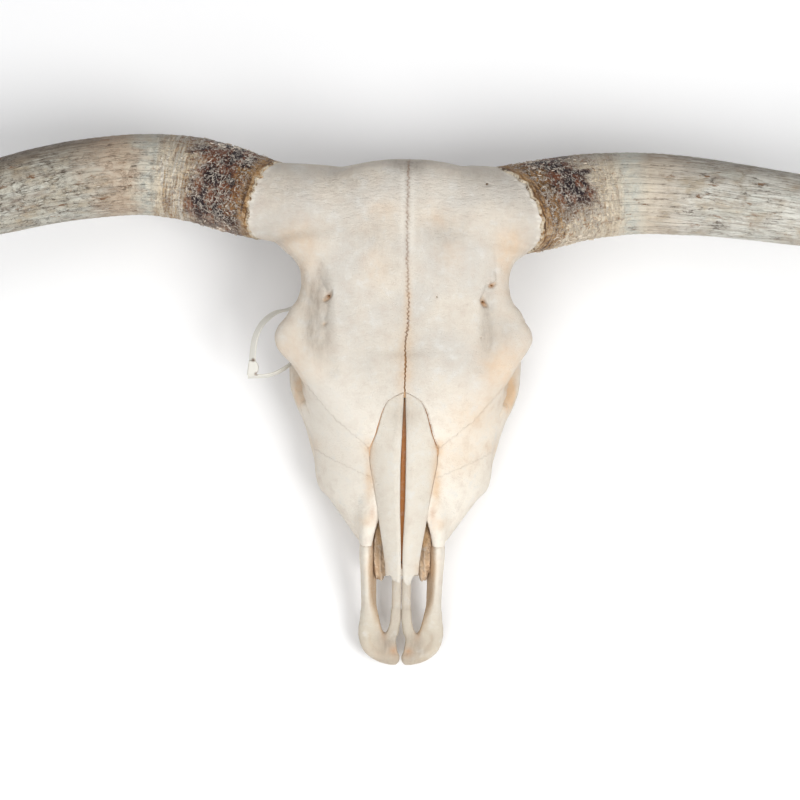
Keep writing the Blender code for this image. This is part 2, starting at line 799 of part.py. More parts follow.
def parted(bone, name, blocks, side):
    """The bone's piece inside a region, flat where it meets the floor, and what is left around it."""
    wanted = region(name, blocks, side, 0)
    taken = region(name, blocks, side, SUTURE_GAP)
    floor = below_floor()
    piece = boolean(duplicate(bone, name), wanted, "INTERSECT")
    piece = largest_body(boolean(piece, floor, "DIFFERENCE"))
    rest = boolean(bone, taken, "DIFFERENCE")
    remove(wanted, taken, floor)
    return piece, rest


def dress(obj, name, kind):
    """Turns a helper into a finished piece of the skull."""
    obj.name = name
    obj.hide_render = False
    obj.display_type = "TEXTURED"
    obj.data.transform(Matrix.Scale(MM, 4))
    obj.data.materials.clear()
    obj.data.materials.append(material(kind))
    obj.data.shade_smooth()
    obj.data.set_sharp_from_angle(angle=math.radians(SHARP_ANGLE))
    return obj


def build():
    clear_scene()
    finished = []
    bone = fused_bone()
    for cutter in openings():
        bone = boolean(bone, cutter, "DIFFERENCE")
        remove(cutter)
    bone = thinned(fuse("bone", [bone], BONE_SKIN[0], BONE_SMOOTHING_ONCE_CUT), BONE_SKIN[2])

    sides = (("right", -1), ("left", 1))
    loose = []
    for which, side in sides:
        loose += [(incisive_bone(which, side), BONE), (turbinate(which, side), INNER_BONE)]
    vomer = prism("vomer", VOMER, -VOMER_THICKNESS / 2, VOMER_THICKNESS / 2, "x")
    loose.append((vomer, INNER_BONE))

    socket = prism("socket", grown_outline(nasal_outline(), SUTURE_GAP), *SOCKET_LEVELS)
    bone = boolean(bone, socket, "DIFFERENCE")
    remove(socket)
    for obj, _ in loose:
        cutter = swollen(obj, SUTURE_GAP)
        bone = boolean(bone, cutter, "DIFFERENCE")
        remove(cutter)

    for which, side in sides:
        beyond = joint_cut(which, side, -SUTURE_GAP / 2, CORE_BLOCK)
        bone = boolean(bone, beyond, "DIFFERENCE")
        remove(beyond)

    for which, side in sides:
        for name, blocks in SIDE_REGIONS:
            piece, bone = parted(bone, f"{name}_{which}", blocks, side)
            if name == "maxilla":
                teeth = tooth_row(side)
                piece = boolean(piece, teeth, "UNION")
                remove(teeth)
            finished.append((piece, f"{name}_{which}", BONE))
    occipital, bone = parted(bone, "occipital", OCCIPITAL_REGION, 1)
    finished += [(occipital, "occipital", BONE), (largest_body(bone), "cranial_base", BONE)]

    for obj, kind in loose:
        finished.append((obj, obj.name, kind))
    for which, side in sides:
        finished.append((nasal_bone(which, side), "nasal_" + which, BONE))
        horn = sheath(which, side)
        beyond = joint_cut(which, side, SUTURE_GAP / 2, HORN_BLOCK)
        horn = boolean(horn, beyond, "INTERSECT")
        remove(beyond)
        finished.append((horn, "horn_" + which, HORN))
    finished.append((strap("tie_strap", TIE_LINE, TIE_STATIONS), "cable_tie_strap", NYLON))
    finished.append((tie_head(), "cable_tie_head", NYLON))

    pose = bpy.data.objects.new("rest_pose", None)
    bpy.context.scene.collection.objects.link(pose)
    pose.rotation_euler.x = math.radians(REST_TILT)
    pose.location = (0, BACK_TO_CENTRE * MM, POLL_HEIGHT * MM)
    for obj, name, kind in finished:
        dress(obj, name, kind).parent = pose


build()
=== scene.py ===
# %% [markdown]
# # A longhorn steer skull
# A dry, sun-bleached skull with its horns still on, lying on a pale floor and seen from above. The
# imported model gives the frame: each of its nodes is replaced here by a finer piece in the same place.
# All sizes below are in millimetres in the skull's own frame, as in the model's source: x is across,
# y runs back (0 at the poll, negative to the nose), z is up off the forehead. The last step of each
# piece turns that frame into the world's.

# %% Load the frame
import bmesh
import bpy
import math
from functools import partial
import numpy as np
import openvdb
from mathutils import Matrix, Vector
from mathutils.bvhtree import BVHTree


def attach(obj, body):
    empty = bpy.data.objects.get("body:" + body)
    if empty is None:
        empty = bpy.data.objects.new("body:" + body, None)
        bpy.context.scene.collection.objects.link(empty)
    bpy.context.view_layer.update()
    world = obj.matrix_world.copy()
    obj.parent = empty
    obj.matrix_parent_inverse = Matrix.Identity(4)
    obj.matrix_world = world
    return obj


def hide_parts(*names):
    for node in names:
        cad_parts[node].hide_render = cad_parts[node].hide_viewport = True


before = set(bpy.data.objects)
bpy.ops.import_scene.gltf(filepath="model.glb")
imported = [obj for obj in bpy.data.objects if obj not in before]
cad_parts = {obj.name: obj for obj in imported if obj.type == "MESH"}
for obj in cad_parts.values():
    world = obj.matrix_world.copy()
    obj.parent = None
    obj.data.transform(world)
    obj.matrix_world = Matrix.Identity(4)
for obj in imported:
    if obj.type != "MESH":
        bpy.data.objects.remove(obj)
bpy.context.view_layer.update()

REST_TILT = math.radians(12.0)
POLL_HEIGHT = 181.0
BACK_TO_CENTRE = 228.2
MM = 0.001
TO_WORLD = (Matrix.Translation((0, BACK_TO_CENTRE * MM, POLL_HEIGHT * MM))
            @ Matrix.Rotation(REST_TILT, 4, "X") @ Matrix.Scale(MM, 4))
SIDES = (("right", -1), ("left", 1))
print("nodes in the frame:", len(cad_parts))

# %% [markdown]
# ## Camera, floor and light
# The photo is taken from far away, square to the forehead, so the camera looks down the skull's own
# vertical. The key light is a soft box low on the right of the picture, which throws soft shadows up
# and to the left; a wider box on the left fills them, and the widest hangs overhead. The view transform
# is plain, so that a white floor comes out white.

# %% The camera
CAMERA_AIM = Vector((-0.0046, -0.0088, 0.1307))
CAMERA_ELEVATION = math.radians(78)
CAMERA_DISTANCE = 3.1
CAMERA_ROLL = math.radians(0.92)
PICTURE_WIDTH = 0.8            # metres across the picture at the aim point
scene = bpy.context.scene


def placed(name, data):
    """A new object in the scene."""
    made = bpy.data.objects.new(name, data)
    scene.collection.objects.link(made)
    return made


lens = bpy.data.cameras.new("photo_camera")
lens.angle = 2 * math.atan(PICTURE_WIDTH / 2 / CAMERA_DISTANCE)
lens.clip_end = 20
camera = placed("photo_camera", lens)
away = Vector((0, -math.cos(CAMERA_ELEVATION), math.sin(CAMERA_ELEVATION)))
turn = away.to_track_quat("Z", "Y").to_matrix() @ Matrix.Rotation(CAMERA_ROLL, 3, "Z")
camera.matrix_world = Matrix.Translation(CAMERA_AIM + away * CAMERA_DISTANCE) @ turn.to_4x4()
scene.camera = camera
scene.view_settings.view_transform = "Standard"
print("camera at", [round(value, 3) for value in camera.location])


# %% Colours and nodes
def paint(text):
    """An sRGB hex colour as the linear colour that a shader takes."""
    parts = [int(text[i:i + 2], 16) / 255 for i in (0, 2, 4)]
    return (*(c / 12.92 if c <= 0.04045 else ((c + 0.055) / 1.055) ** 2.4 for c in parts), 1.0)


PREFIXES = {"ShaderNodeTree": ("ShaderNode",),
            "GeometryNodeTree": ("GeometryNode", "FunctionNode", "ShaderNode")}


def add(tree, kind, *sources, **settings):
    """Adds a node, sets its options and inputs, and feeds each source to the input at its own place.

    The kind may be followed by the node's operation. A source is a node, a socket or a value; a pair
    (node or socket, input) names its input.
    """
    kind, _, operation = kind.partition(" ")
    node = tree.nodes.new(next(prefix + kind for prefix in PREFIXES[tree.bl_idname]
                               if hasattr(bpy.types, prefix + kind)))
    if operation:
        node.operation = operation
    for name, value in settings.items():
        if hasattr(node, name):
            setattr(node, name, value)
        else:
            spot = int(name[1:]) if name[1:].isdigit() else name.replace("_", " ")
            node.inputs[spot].default_value = value
    for spot, source in enumerate(sources):
        if isinstance(source, tuple) and hasattr(source[0], "bl_rna"):
            source, spot = source
        if hasattr(source, "bl_rna"):
            tree.links.new(getattr(source, "outputs", [source])[0], node.inputs[spot])
        else:
            node.inputs[spot].default_value = source
    return node


def new_material(name, **finish):
    """A material, its tree and its shader, whose named inputs are set."""
    made = bpy.data.materials.new(name)
    made.use_nodes = True
    shader = made.node_tree.nodes["Principled BSDF"]
    for title, value in finish.items():
        shader.inputs[title.replace("_", " ")].default_value = value
    return made, made.node_tree, shader


# %% The floor and the lights
FLOOR_SIZE = 9.0
corners = [(x * FLOOR_SIZE / 2, y * FLOOR_SIZE / 2, 0) for x, y in ((-1, -1), (1, -1), (1, 1), (-1, 1))]
floor_mesh = bpy.data.meshes.new("floor")
floor_mesh.from_pydata(corners, [], [(0, 1, 2, 3)])
floor_mesh.materials.append(
    new_material("matt_white_backdrop_paper", Base_Color=paint("FCFCFC"), Roughness=0.9)[0])
placed("floor", floor_mesh)


def soft_box(name, place, aim, size, power):
    light = bpy.data.lights.new(name, "AREA")
    light.shape, light.size, light.energy = "DISK", size, power
    lamp = placed(name, light)
    lamp.location = place
    lamp.rotation_euler = (Vector(place) - Vector(aim)).to_track_quat("Z", "Y").to_euler()


soft_box("key", (2.15, -1.7, 3.4), (0, 0, 0.1), 2.0, 102)
soft_box("fill", (-1.6, -2.45, 3.3), (0, 0, 0), 3.2, 62)
soft_box("overhead", (0, 0.1, 4.0), (0, 0, 0), 4.5, 64)
world = bpy.data.worlds.new("studio")
world.use_nodes = True
world.node_tree.nodes["Background"].inputs["Color"].default_value = paint("FBFCFF")
world.node_tree.nodes["Background"].inputs["Strength"].default_value = 0.24
scene.world = world

# %% [markdown]
# ## How the bone is made
# A skull is one flowing surface with holes through it, so the bone starts as a distance field: a grid
# of numbers that say how far each point is from the surface. Lofted sections, swept bars and eggs are
# blended into the field with soft seams, the hollows are blended out of it, and OpenVDB draws the
# surface where the field is zero. The measures are those of the model's source, so both agree.

# %% The grid
GRAIN = 1.5                    # mm between points of the fused bone's grid
EVENING = 26.0                 # mm over which a loft's levels are averaged
FAR = 40.0                     # mm from the surface in an empty grid


def smooth_table(table, keys, at):
    """The table's columns read at the places asked for, without overshoot between its rows."""
    rows, keys, at = np.array(table, float), np.array(keys, float), np.asarray(at, float)
    slopes = np.diff(rows, axis=0) / np.diff(keys)[:, None]
    before, after = slopes[:-1], slopes[1:]
    same_way = before * after > 0
    inner = np.where(same_way, 2 * before * after / np.where(same_way, before + after, 1.0), 0.0)
    tangents = np.vstack([slopes[:1], inner, slopes[-1:]])
    index = np.clip(np.searchsorted(keys, at, side="right") - 1, 0, len(keys) - 2)
    width = (keys[index + 1] - keys[index])[:, None]
    t = np.clip((at[:, None] - keys[index][:, None]) / width, 0, 1)
    return ((2 * t**3 - 3 * t**2 + 1) * rows[index] + (t**3 - 2 * t**2 + t) * width * tangents[index]
            + (3 * t**2 - 2 * t**3) * rows[index + 1] + (t**3 - t**2) * width * tangents[index + 1])


def even_rows(table, samples):
    """The table read at evenly spaced places along the path of its first three columns, and its length."""
    steps = np.linalg.norm(np.diff(table[:, :3], axis=0), axis=1)
    keys = np.concatenate([[0], np.cumsum(steps)])
    return smooth_table(table, keys, np.linspace(0, keys[-1], samples)), keys[-1]


class Field:
    """A block of space that holds the distance to the surface of a bone, in millimetres."""

    def __init__(self, low, high, grain):
        self.low, self.grain = np.array(low, float), grain
        self.axes = [np.arange(a, b, grain, dtype=np.float32) for a, b in zip(low, high)]
        self.values = np.full([len(axis) for axis in self.axes], FAR, np.float32)

    def window(self, low, high, margin):
        """The grid's part inside a box, as slices, and its x, y and z."""
        parts = tuple(slice(*np.searchsorted(axis, (a - margin, b + margin)))
                      for axis, a, b in zip(self.axes, low, high))
        x, y, z = (axis[part] for axis, part in zip(self.axes, parts))
        return parts, (x[:, None, None], y[None, :, None], z[None, None, :])

    def join(self, shape, soft, sign=1):
        """Adds a shape, with a fillet of about the given size. With a sign of -1 it is taken away."""
        where, distance = shape(self, soft + 4)
        there = sign * self.values[where]
        near = np.maximum(soft - np.abs(there - distance), 0) / soft
        self.values[where] = sign * (np.minimum(there, distance) - near**2 * soft / 4)

    def carve(self, shape, soft):
        self.join(shape, soft, -1)

    def mesh(self, smoothing=2):
        """Points and quads of the surface where the distance is nought."""
        grid = openvdb.FloatGrid(FAR)
        grid.copyFromArray(self.values, tolerance=0.0)
        points, quads = grid.convertToQuads(isovalue=0.0)
        points = points.astype(float) * self.grain + self.low
        ends = np.concatenate([quads[:, [a, b]] for a, b in ((0, 1), (1, 2), (2, 3), (3, 0))])
        count = np.bincount(ends.ravel(), minlength=len(points))[:, None]
        for _ in range(smoothing):
            total = np.zeros_like(points)
            np.add.at(total, ends[:, 0], points[ends[:, 1]])
            np.add.at(total, ends[:, 1], points[ends[:, 0]])
            points = points * 0.4 + total / count * 0.6
        return points, quads

    def read(self, values, points):
        """A grid of values read at any points."""
        at = np.clip((points - self.low) / self.grain, 0, np.array(values.shape) - 1.001)
        cell = at.astype(int)
        t = at - cell
        total = 0
        for corner in np.ndindex(2, 2, 2):
            share = np.prod(np.where(corner, t, 1 - t), axis=1)
            total = total + share * values[tuple((cell + corner).T)]
        return total


# %% Shapes for the field
def loft(stations, top_power=2.5, bottom_power=2.5, even_from=None):
    """Sections square to y, each with its own widths and its own top, widest and bottom level.

    In front of even_from the levels are averaged over EVENING millimetres, so that no row shows.
    """
    if len(stations[0]) == 5:
        stations = [(row[0], row[1], *row[1:]) for row in stations]
    table = np.array(stations, float)
    back, front = table[0, 0], table[-1, 0]

    def shape(field, margin):
        where, (x, y, z) = field.window((-table[:, 1].max(), front, table[:, 5].min()),
                                        (table[:, 2].max(), back, table[:, 3].max()), margin)
        rows = smooth_table(table, -table[:, 0], -y.ravel()).astype(np.float32)
        if even_from is not None:
            reach = int(EVENING / field.grain)
            weights = np.hanning(2 * reach + 3)[1:-1]
            share = np.clip((even_from - y.ravel()) / EVENING, 0, 1)
            for i in (3, 4, 5):
                padded = np.pad(rows[:, i], reach, mode="edge")
                mean = np.convolve(padded, weights / weights.sum(), mode="valid")
                rows[:, i] += share * (mean - rows[:, i])
        right, left, top, wide, bottom = (rows[None, :, i, None] for i in range(1, 6))
        half = np.where(x > 0, left, right)
        above = z > wide
        power = np.where(above, np.float32(top_power), np.float32(bottom_power))
        reach = np.where(above, top - wide, wide - bottom)
        across = np.maximum(np.abs(x) / half, 1e-4)
        up = np.maximum(np.abs(z - wide) / reach, 1e-4)
        across_part, up_part = across ** (power - 1), up ** (power - 1)
        size = (across_part * across + up_part * up) ** (1 / power)
        slope = size ** (1 - power) * np.sqrt((across_part / half) ** 2 + (up_part / reach) ** 2)
        inside = (size - 1) / slope
        ends = np.maximum(y - back, front - y)
        near = np.maximum(6 - np.abs(inside - ends), 0) / 6
        return where, np.maximum(inside, ends) + near**2 * 1.5
    return shape


def oval(offset, frame_axes, radii):
    """Distance to an egg round the origin, given the offset's three coordinates."""
    parts = [sum(o * a for o, a in zip(offset, axis)) for axis in frame_axes]
    size = np.sqrt(sum((part / r) ** 2 for part, r in zip(parts, radii))) + 1e-5
    slope = np.sqrt(sum((part / r**2) ** 2 for part, r in zip(parts, radii))) / size + 1e-5
    return (size - 1) / slope


def bar(line, side=1, samples=16, up=(0, 0, 1)):
    """An oval bar along (x, y, z, half width, half height), mirrored by side."""
    rows = even_rows(np.array(line, float), samples)[0]
    rows[:, 0] *= side
    reach = rows[:, 3:5].max()

    def shape(field, margin):
        where, place = field.window(rows[:, :3].min(axis=0) - reach, rows[:, :3].max(axis=0) + reach,
                                    margin)
        best = np.float32(1e3)
        for start, end in zip(rows, rows[1:]):
            run = end[:3] - start[:3]
            forward = Vector(run).normalized()
            across = forward.cross(Vector(up))
            if across.length < 0.3:
                across = forward.cross(Vector((0, 1, 0)))
            across.normalize()
            raised = across.cross(forward)
            offset = [p - s for p, s in zip(place, start[:3])]
            t = np.clip(sum(o * r for o, r in zip(offset, run)) / (run @ run), 0, 1)
            offset = [o - t * r for o, r in zip(offset, run)]
            wide, high = (start[i] + (end[i] - start[i]) * t for i in (3, 4))
            distance = oval(offset, (across, raised, forward), (wide, high, np.minimum(wide, high)))
            best = np.minimum(best, distance)
        return where, best.astype(np.float32)
    return shape


def egg(centre, radii, side=1):
    centre = np.array(centre, float) * (side, 1, 1)
    radii = np.array(radii, float)

    def shape(field, margin):
        where, place = field.window(centre - radii, centre + radii, margin)
        offset = [p - c for p, c in zip(place, centre)]
        return where, oval(offset, np.eye(3), radii).astype(np.float32)
    return shape


def edge_distance(outline, x, y):
    """Distance from each (x, y) to a closed outline, negative inside it."""
    x, y = np.broadcast_arrays(x, y)
    best = np.full(x.shape, 1e9)
    inside = np.zeros(x.shape, bool)
    for (ax, ay), (bx, by) in zip(outline, outline[1:] + outline[:1]):
        run_x, run_y = bx - ax, by - ay
        t = np.clip(((x - ax) * run_x + (y - ay) * run_y) / (run_x**2 + run_y**2 + 1e-9), 0, 1)
        best = np.minimum(best, (x - ax - t * run_x) ** 2 + (y - ay - t * run_y) ** 2)
        crosses = (ay > y) != (by > y)
        inside ^= crosses & (x < run_x * (y - ay) / (run_y if run_y else 1e-9) + ax)
    return np.sqrt(best) * np.where(inside, -1, 1)


def slab(outline, top, bottom, side=1, rim=1.5):
    """A plate with the given plan. Its top and bottom are levels, or rules that give them at (x, y)."""
    plan = [(x * side, y) for x, y in outline]

    def shape(field, margin):
        low, high = np.min(plan, axis=0), np.max(plan, axis=0)
        where, (x, y, z) = field.window((*low, field.low[2]), (*high, 1e3), margin)
        level = top(x * side, y) if callable(top) else top
        floor_at = bottom(x * side, y) if callable(bottom) else bottom
        flat = np.maximum(z - level, floor_at - z)
        walls = edge_distance(plan, x[:, :, 0], y[:, :, 0])[:, :, None]
        near = np.maximum(rim - np.abs(flat - walls), 0) / rim
        return where, (np.maximum(flat, walls) + near**2 * rim / 4).astype(np.float32)
    return shape


# %% Measures of the fused bone
# Lofts: (y, half width right, left, top, widest level, bottom), or one half width for both sides
FOREHEAD = (
    (1, 22, 22, -26, -38, -50), (-1, 36, 36, -20, -38, -62), (-5, 54, 52, -12, -38, -74),
    (-10, 72, 68, -6, -38, -82), (-18, 84, 76, -2, -38, -86), (-45, 100, 88, 3, -38, -88),
    (-70, 114, 102, 4, -38, -84), (-84, 130, 116, 4, -38, -76), (-92, 125, 119, 4, -36, -70),
    (-102, 114, 109, 3, -32, -62), (-115, 107, 104, 3, -27, -56), (-127, 106, 103, 2, -22, -52),
    (-141, 109, 107, 1, -20, -49), (-157, 118, 116, 0, -19, -46), (-171, 129, 126, 1, -18, -43),
    (-180, 132, 128, 1, -18, -42), (-189, 131, 125, 1, -19, -42), (-198, 126, 120, 2, -21, -44),
    (-206, 118, 115, 3, -24, -47), (-216, 110, 109, 4, -28, -52), (-228, 102, 101, 5, -36, -58),
    (-250, 89, 88, 7, -48, -72), (-266, 76, 76, 5, -51, -74), (-284, 62, 62, -1, -54, -76),
    (-302, 46, 46, -14, -57, -78),
)
FACE = (
    (-203, 92, 2, -66, -116), (-228, 106, 5, -72, -114), (-246, 107, 7, -74, -112),
    (-262, 101, 7, -73, -107), (-282, 94.5, 7, -70, -102), (-300, 90, 5, -68, -98),
    (-320, 86, 3, -66, -94), (-332, 83, 2, -65, -91), (-345, 74, 0, -62, -88),
    (-360, 63, -3, -58, -85), (-374, 53, -9, -56, -82), (-386, 44, -30, -58, -79),
    (-398, 31, -52, -64, -76), (-422, 24, -58, -65, -72),
)
BRAINCASE = (
    (-8, 52, -30, -80, -118), (-16, 70, -20, -84, -128), (-40, 78, -20, -88, -134),
    (-70, 70, -20, -84, -136), (-100, 60, -20, -78, -134), (-135, 52, -20, -74, -128),
    (-175, 46, -20, -70, -120), (-215, 44, -20, -72, -114),
)
NASAL_CAVITY = (
    (-256, 14, -18, -50, -76), (-275, 30, -12, -54, -86), (-300, 42, -8, -56, -88),
    (-330, 46, -7, -56, -84), (-350, 38, -2, -54, -79), (-362, 32, 4, -52, -76),
    (-380, 32, 8, -50, -72), (-410, 36, 16, -48, -66), (-445, 38, 20, -46, -60),
)
# Bars of one side: (x, y, z, half width, half height)
CHEEK_RIM = ((113, -160, -68, 8, 10), (111, -182, -80, 8, 9), (110, -206, -85, 9, 10),
             (109, -226, -83, 9, 11), (101, -246, -78, 10, 12), (90, -264, -74, 10, 12))
POSTORBITAL_BAR = ((107, -157, -22, 9, 8), (110, -158, -44, 8, 8), (112, -160, -66, 8, 9),
                   (109, -172, -84, 8, 9))
ZYGOMATIC_ARCH = ((109, -190, -86, 7, 10), (105, -160, -92, 6, 9), (101, -130, -95, 6, 9),
                  (93, -104, -94, 8, 10), (76, -84, -91, 12, 13))
JUGULAR_PROCESS = ((58, -42, -112, 15, 18), (62, -38, -138, 11, 14), (62, -38, -162, 8, 10),
                   (60, -41, -190, 6, 8))
SKULL_BASE = ((0, -18, -128, 24, 10), (0, -60, -137, 22, 9), (0, -100, -138, 18, 9),
              (0, -150, -128, 15, 12), (0, -200, -110, 14, 14))
PTERYGOID_PLATE = ((25, -128, -126, 5, 12), (25, -150, -127, 5, 16), (26, -178, -120, 5, 16),
                   (30, -206, -112, 7, 12))
ALVEOLAR_RIDGE = ((50, -206, -112, 14, 15), (52, -250, -106, 15, 14), (50, -300, -97, 14, 13),
                  (43, -340, -88, 11, 12), (36, -372, -80, 8, 9), (30, -396, -73, 6, 6))
# Eggs of one side: centre, radii
GLENOID = ((74, -86, -98), (26, 24, 18))
CONDYLE = ((27, -17, -127), (17, 15, 20))
BULLA = ((42, -80, -140), (11, 19, 18))
FACIAL_TUBER = ((76, -318, -72), (10, 18, 12))
ORBIT = ((126, -196, -47), (62, 35, 29))
ORBIT_DEPTH = ((84, -186, -52), (40, 28, 24))
BEHIND_THE_BAR = ((87, -158, -62), (16, 27, 16))
TEMPORAL_FOSSA = ((108, -128, -70), (46, 30, 18))
SPINAL_OPENING = ((0, 20, -110, 18, 16), (0, -60, -104, 17, 16))
REAR_NOSTRIL = ((0, -120, -118, 17, 8), (0, -170, -112, 18, 17), (0, -215, -98, 16, 12))
# Horn joints: a point on the core's middle, the way the joint faces (x outward), the core's radius
HORN_JOINT = {
    "right": ((141, -42.5, -45), (0.88, 0.27, -0.36), 40.0),
    "left": ((100.5, -49.3, -45), (0.76, 0.36, -0.54), 45.0),
}


# %% [markdown]
# ## The finer forms of the bone
# What the model's plain solids leave out goes into the same field: the holes and grooves through which the
# brow's nerves and vessels run, the vaulted palate, the nape's ridge, the ear tubes, and the bulge of the
# tear bone in the eye socket. Forms on the forehead are placed by x and y alone: their height is read off
# the field.

# %% Measures of the finer forms
# Grooves of the brow: (x, y, depth, half width)
RIGHT_BROW_GROOVE = ((-92, -110, 0.4, 5), (-88, -128, 2.2, 8), (-88, -150, 3.2, 11), (-87, -172, 2.6, 12),
                     (-84, -196, 1.2, 11), (-80, -214, 0.3, 9))
LEFT_BROW_GROOVE = ((88, -128, 0.4, 4), (86, -146, 1.9, 8), (84, -165, 1.9, 12), (82, -184, 1.5, 12),
                    (78, -206, 0.4, 8))
RIGHT_BROW_FOLD = ((-93, -114, 0.3, 3), (-88, -127, 2.2, 4), (-83, -138, 2.2, 4.5), (-83, -152, 0.8, 4),
                   (-83, -168, 0.8, 4), (-82, -184, 0.3, 3))
LEFT_BROW_FOLD = ((84, -124, 0.4, 3), (81, -138, 1.4, 4), (83, -152, 0.5, 5), (84, -170, 0.4, 5),
                  (82, -188, 0.2, 4))
BROW_LIPS = ((-84.5, -134, 3.0, 5.5, 3.6), (81, -139.5, 3.4, 5.5, 3.6),
             (86.5, -118.5, 3, 5.5, 3.4), (-79, -166, 1.6, 5, 1.8), (73, -172, 1.6, 5, 1.8))
# Crescents under the lips of the brow's nerve holes
BROW_CRESCENTS = (
    ((-75.4, -133, 1, 1.5), (-76.5, -138, 5, 2.4), (-80, -142, 5, 2.4), (-84.5, -145, 1, 1.5)),
    ((82.5, -127.5, 0.8, 1.4), (84.5, -126.6, 4, 2.2), (88, -124.2, 4, 2), (92.5, -121, 0.8, 1.4)),
    ((77.5, -136, 1, 1.5), (76, -141, 5, 2.4), (78, -145, 5, 2.4), (82.5, -148, 0.8, 1.4)),
    ((-84.8, -170, 0.6, 1.2), (-81.8, -167.6, 2, 1.5), (-78.5, -165, 0.6, 1.2)),
)
LEFT_BROW_VEIN = ((89, -88, 0.3, 1.6), (90.5, -104, 0.9, 2.0), (90, -118, 1.6, 2.4))
CROWN_DIPS = (((-34, -58, 1.2, 16), (-22, -82, 1.6, 20), (-20, -104, 0.8, 18)),
              ((26, -58, 1.0, 14), (36, -66, 1.6, 16), (52, -66, 0.6, 14)))
# The ragged hollow in the rim below each eye
ORBIT_POCKET = ((112, -216, 1.5, 3), (110.5, -223, 3, 5), (109, -228, 3, 4), (107.5, -233, 3.5, 6),
                (106, -238, 3.5, 4.2), (104, -243, 3.5, 6), (101.5, -248, 3, 4), (98, -256, 1.5, 3))
# Holes: (x, y, radius, lean in x, lean in y), each leaning that far in 12 mm of depth
BROW_HOLES = ((-77.5, -139, 1.4, 4, 6), (77, -143, 1.4, -4, 6), (85.5, -126.0, 1.1, -3, 5),
              (75.5, -179.0, 0.8, -4, 5), (78.9, -25.0, 1.3, 0, 2),
              (30.5, -139, 0.8, 2, 2), (30.6, -290.5, 1.7, 1, 2), (-34.6, -291.5, 1.2, 0, 2))
PALATE_VAULT = ((0, -196, -136, 35, 26), (0, -250, -125, 36, 21), (0, -300, -112, 34, 18),
                (0, -345, -99, 27, 13), (0, -400, -83, 20, 8))
PALATE_RIDGE = ((0, -206, -109, 2.5, 2), (0, -300, -94, 2.0, 2), (0, -390, -76, 1.5, 1.5))
NAPE_RIDGE = ((-56, -24, -58, 6, 6), (-28, -16, -68, 7, 8), (0, -13, -72, 12, 12), (28, -16, -68, 7, 8),
              (56, -24, -58, 6, 6))
EAR_TUBE = ((58, -64, -112, 9, 9), (80, -60, -108, 8, 8))
EAR_HOLE = ((66, -62, -110, 4, 4.4), (96, -58, -106, 4, 4.4))
TEAR_BULGE = ((80, -222, -84), (15, 22, 12))
CHEEK_CREST = ((98, -262, -86, 5, 6), (88, -296, -83, 6, 6), (77, -324, -76, 7, 9))
CHEEK_HOLE = ((60, -352, -68, 4.2, 5.5), (76, -371, -66, 4.2, 6.5))
SOCKET_HOLES = ((62, -150, -66, 3.4), (58, -172, -78, 4.5), (60, -196, -60, 2.6))
BRAINCASE_SIDE = ((60, -130, -82, 10, 24), (64, -104, -80, 9, 26), (70, -84, -78, 8, 18))

# Nasal bones, one side: (y, inner edge, outer edge, height at the inner edge, drop to the outer edge)
NASAL = (
    (-235, 0.6, 2.5, 8.5, 0.5), (-243, 0.9, 16.0, 8.8, 3.0), (-256, 1.4, 22.0, 9.0, 4.5),
    (-275, 2.0, 27.0, 9.0, 6.0), (-293, 2.4, 33.2, 8.5, 8.0), (-302, 2.6, 33.8, 8.0, 8.5),
    (-320, 2.6, 31.0, 7.0, 9.0), (-345, 2.4, 26.5, 5.0, 9.0), (-370, 1.6, 22.6, 2.5, 8.5),
    (-395, 0.8, 18.4, -1.0, 8.0), (-412, 0.7, 16.2, -4.0, 7.5), (-420, 0.8, 14.4, -5.5, 7.0),
    (-425, 2.0, 8.0, -6.5, 4.0),
)
NASAL_THICKNESS = 4.5
SOCKET_FLOOR = -9.5
# Incisive bones, one side: the plan, then bars
INCISIVE_OUTLINE = (
    (1.6, -508), (4.5, -511.5), (11, -511.5), (20, -509), (29, -504), (36, -497), (41, -489),
    (43, -481), (42, -472), (40.5, -458), (26, -458), (21.5, -472), (17, -483), (13.4, -476),
    (10.4, -467), (9.6, -456), (0.5, -456), (0.5, -466), (3.2, -476), (4.8, -487), (3.2, -498),
    (1.2, -503),
)
INCISIVE_BAR = (
    (30.5, -474, -53, 9.5, 6), (32.2, -460, -51, 8.6, 8), (34.5, -441, -47, 6.4, 12),
    (35.3, -420, -42, 6.4, 16), (35.8, -400, -36, 7.4, 17.5), (35.7, -391.5, -33, 7.4, 15.8),
    (35.4, -386.5, -36, 6.4, 13.5), (33.5, -372, -33, 5.5, 10), (31.5, -360, -30, 3, 5),
)
INCISIVE_RIM = ((7, -505, -54, 4.5, 5), (20, -503, -54, 5, 5.5), (34, -492, -54, 5.5, 5.5),
                (37, -474, -54, 5, 5.5))
PALATINE_BAR = ((6.2, -478, -54.4, 4.2, 4), (5.6, -462, -54.5, 4.4, 4), (4.9, -446, -56, 4.9, 4),
                (4.9, -426, -60, 4.9, 4))
# The maxilla's ledge that takes the incisive bar's upper end
MAXILLA_LEDGE = ((35.4, -384, -32, 8.6, 16.2), (33.5, -366, -25, 10, 13.5), (30, -346, -17, 9, 9))
TURBINATE_LINE = ((17, -326, -44, 9, 20), (21.5, -356, -40, 11, 21), (22.3, -384, -39, 10.4, 19),
                  (21.5, -408, -41, 8.2, 14), (21.5, -421, -45, 4, 8))


# %% Build the fused bone's field
def horn_core(which, side):
    """The frontal bone's outgrowth, a little way into the sheath."""
    (x, y, z), _, radius = HORN_JOINT[which]
    line = ((44, -54, -44, 44, 40), (x * 0.62, (y - 54) / 2, z + 1, radius + 3, radius + 1),
            (x, y, z, radius - 0.4, radius - 0.4), (x + 40, y + 8, z, radius - 3, radius - 3))
    return bar(line, side, samples=10)


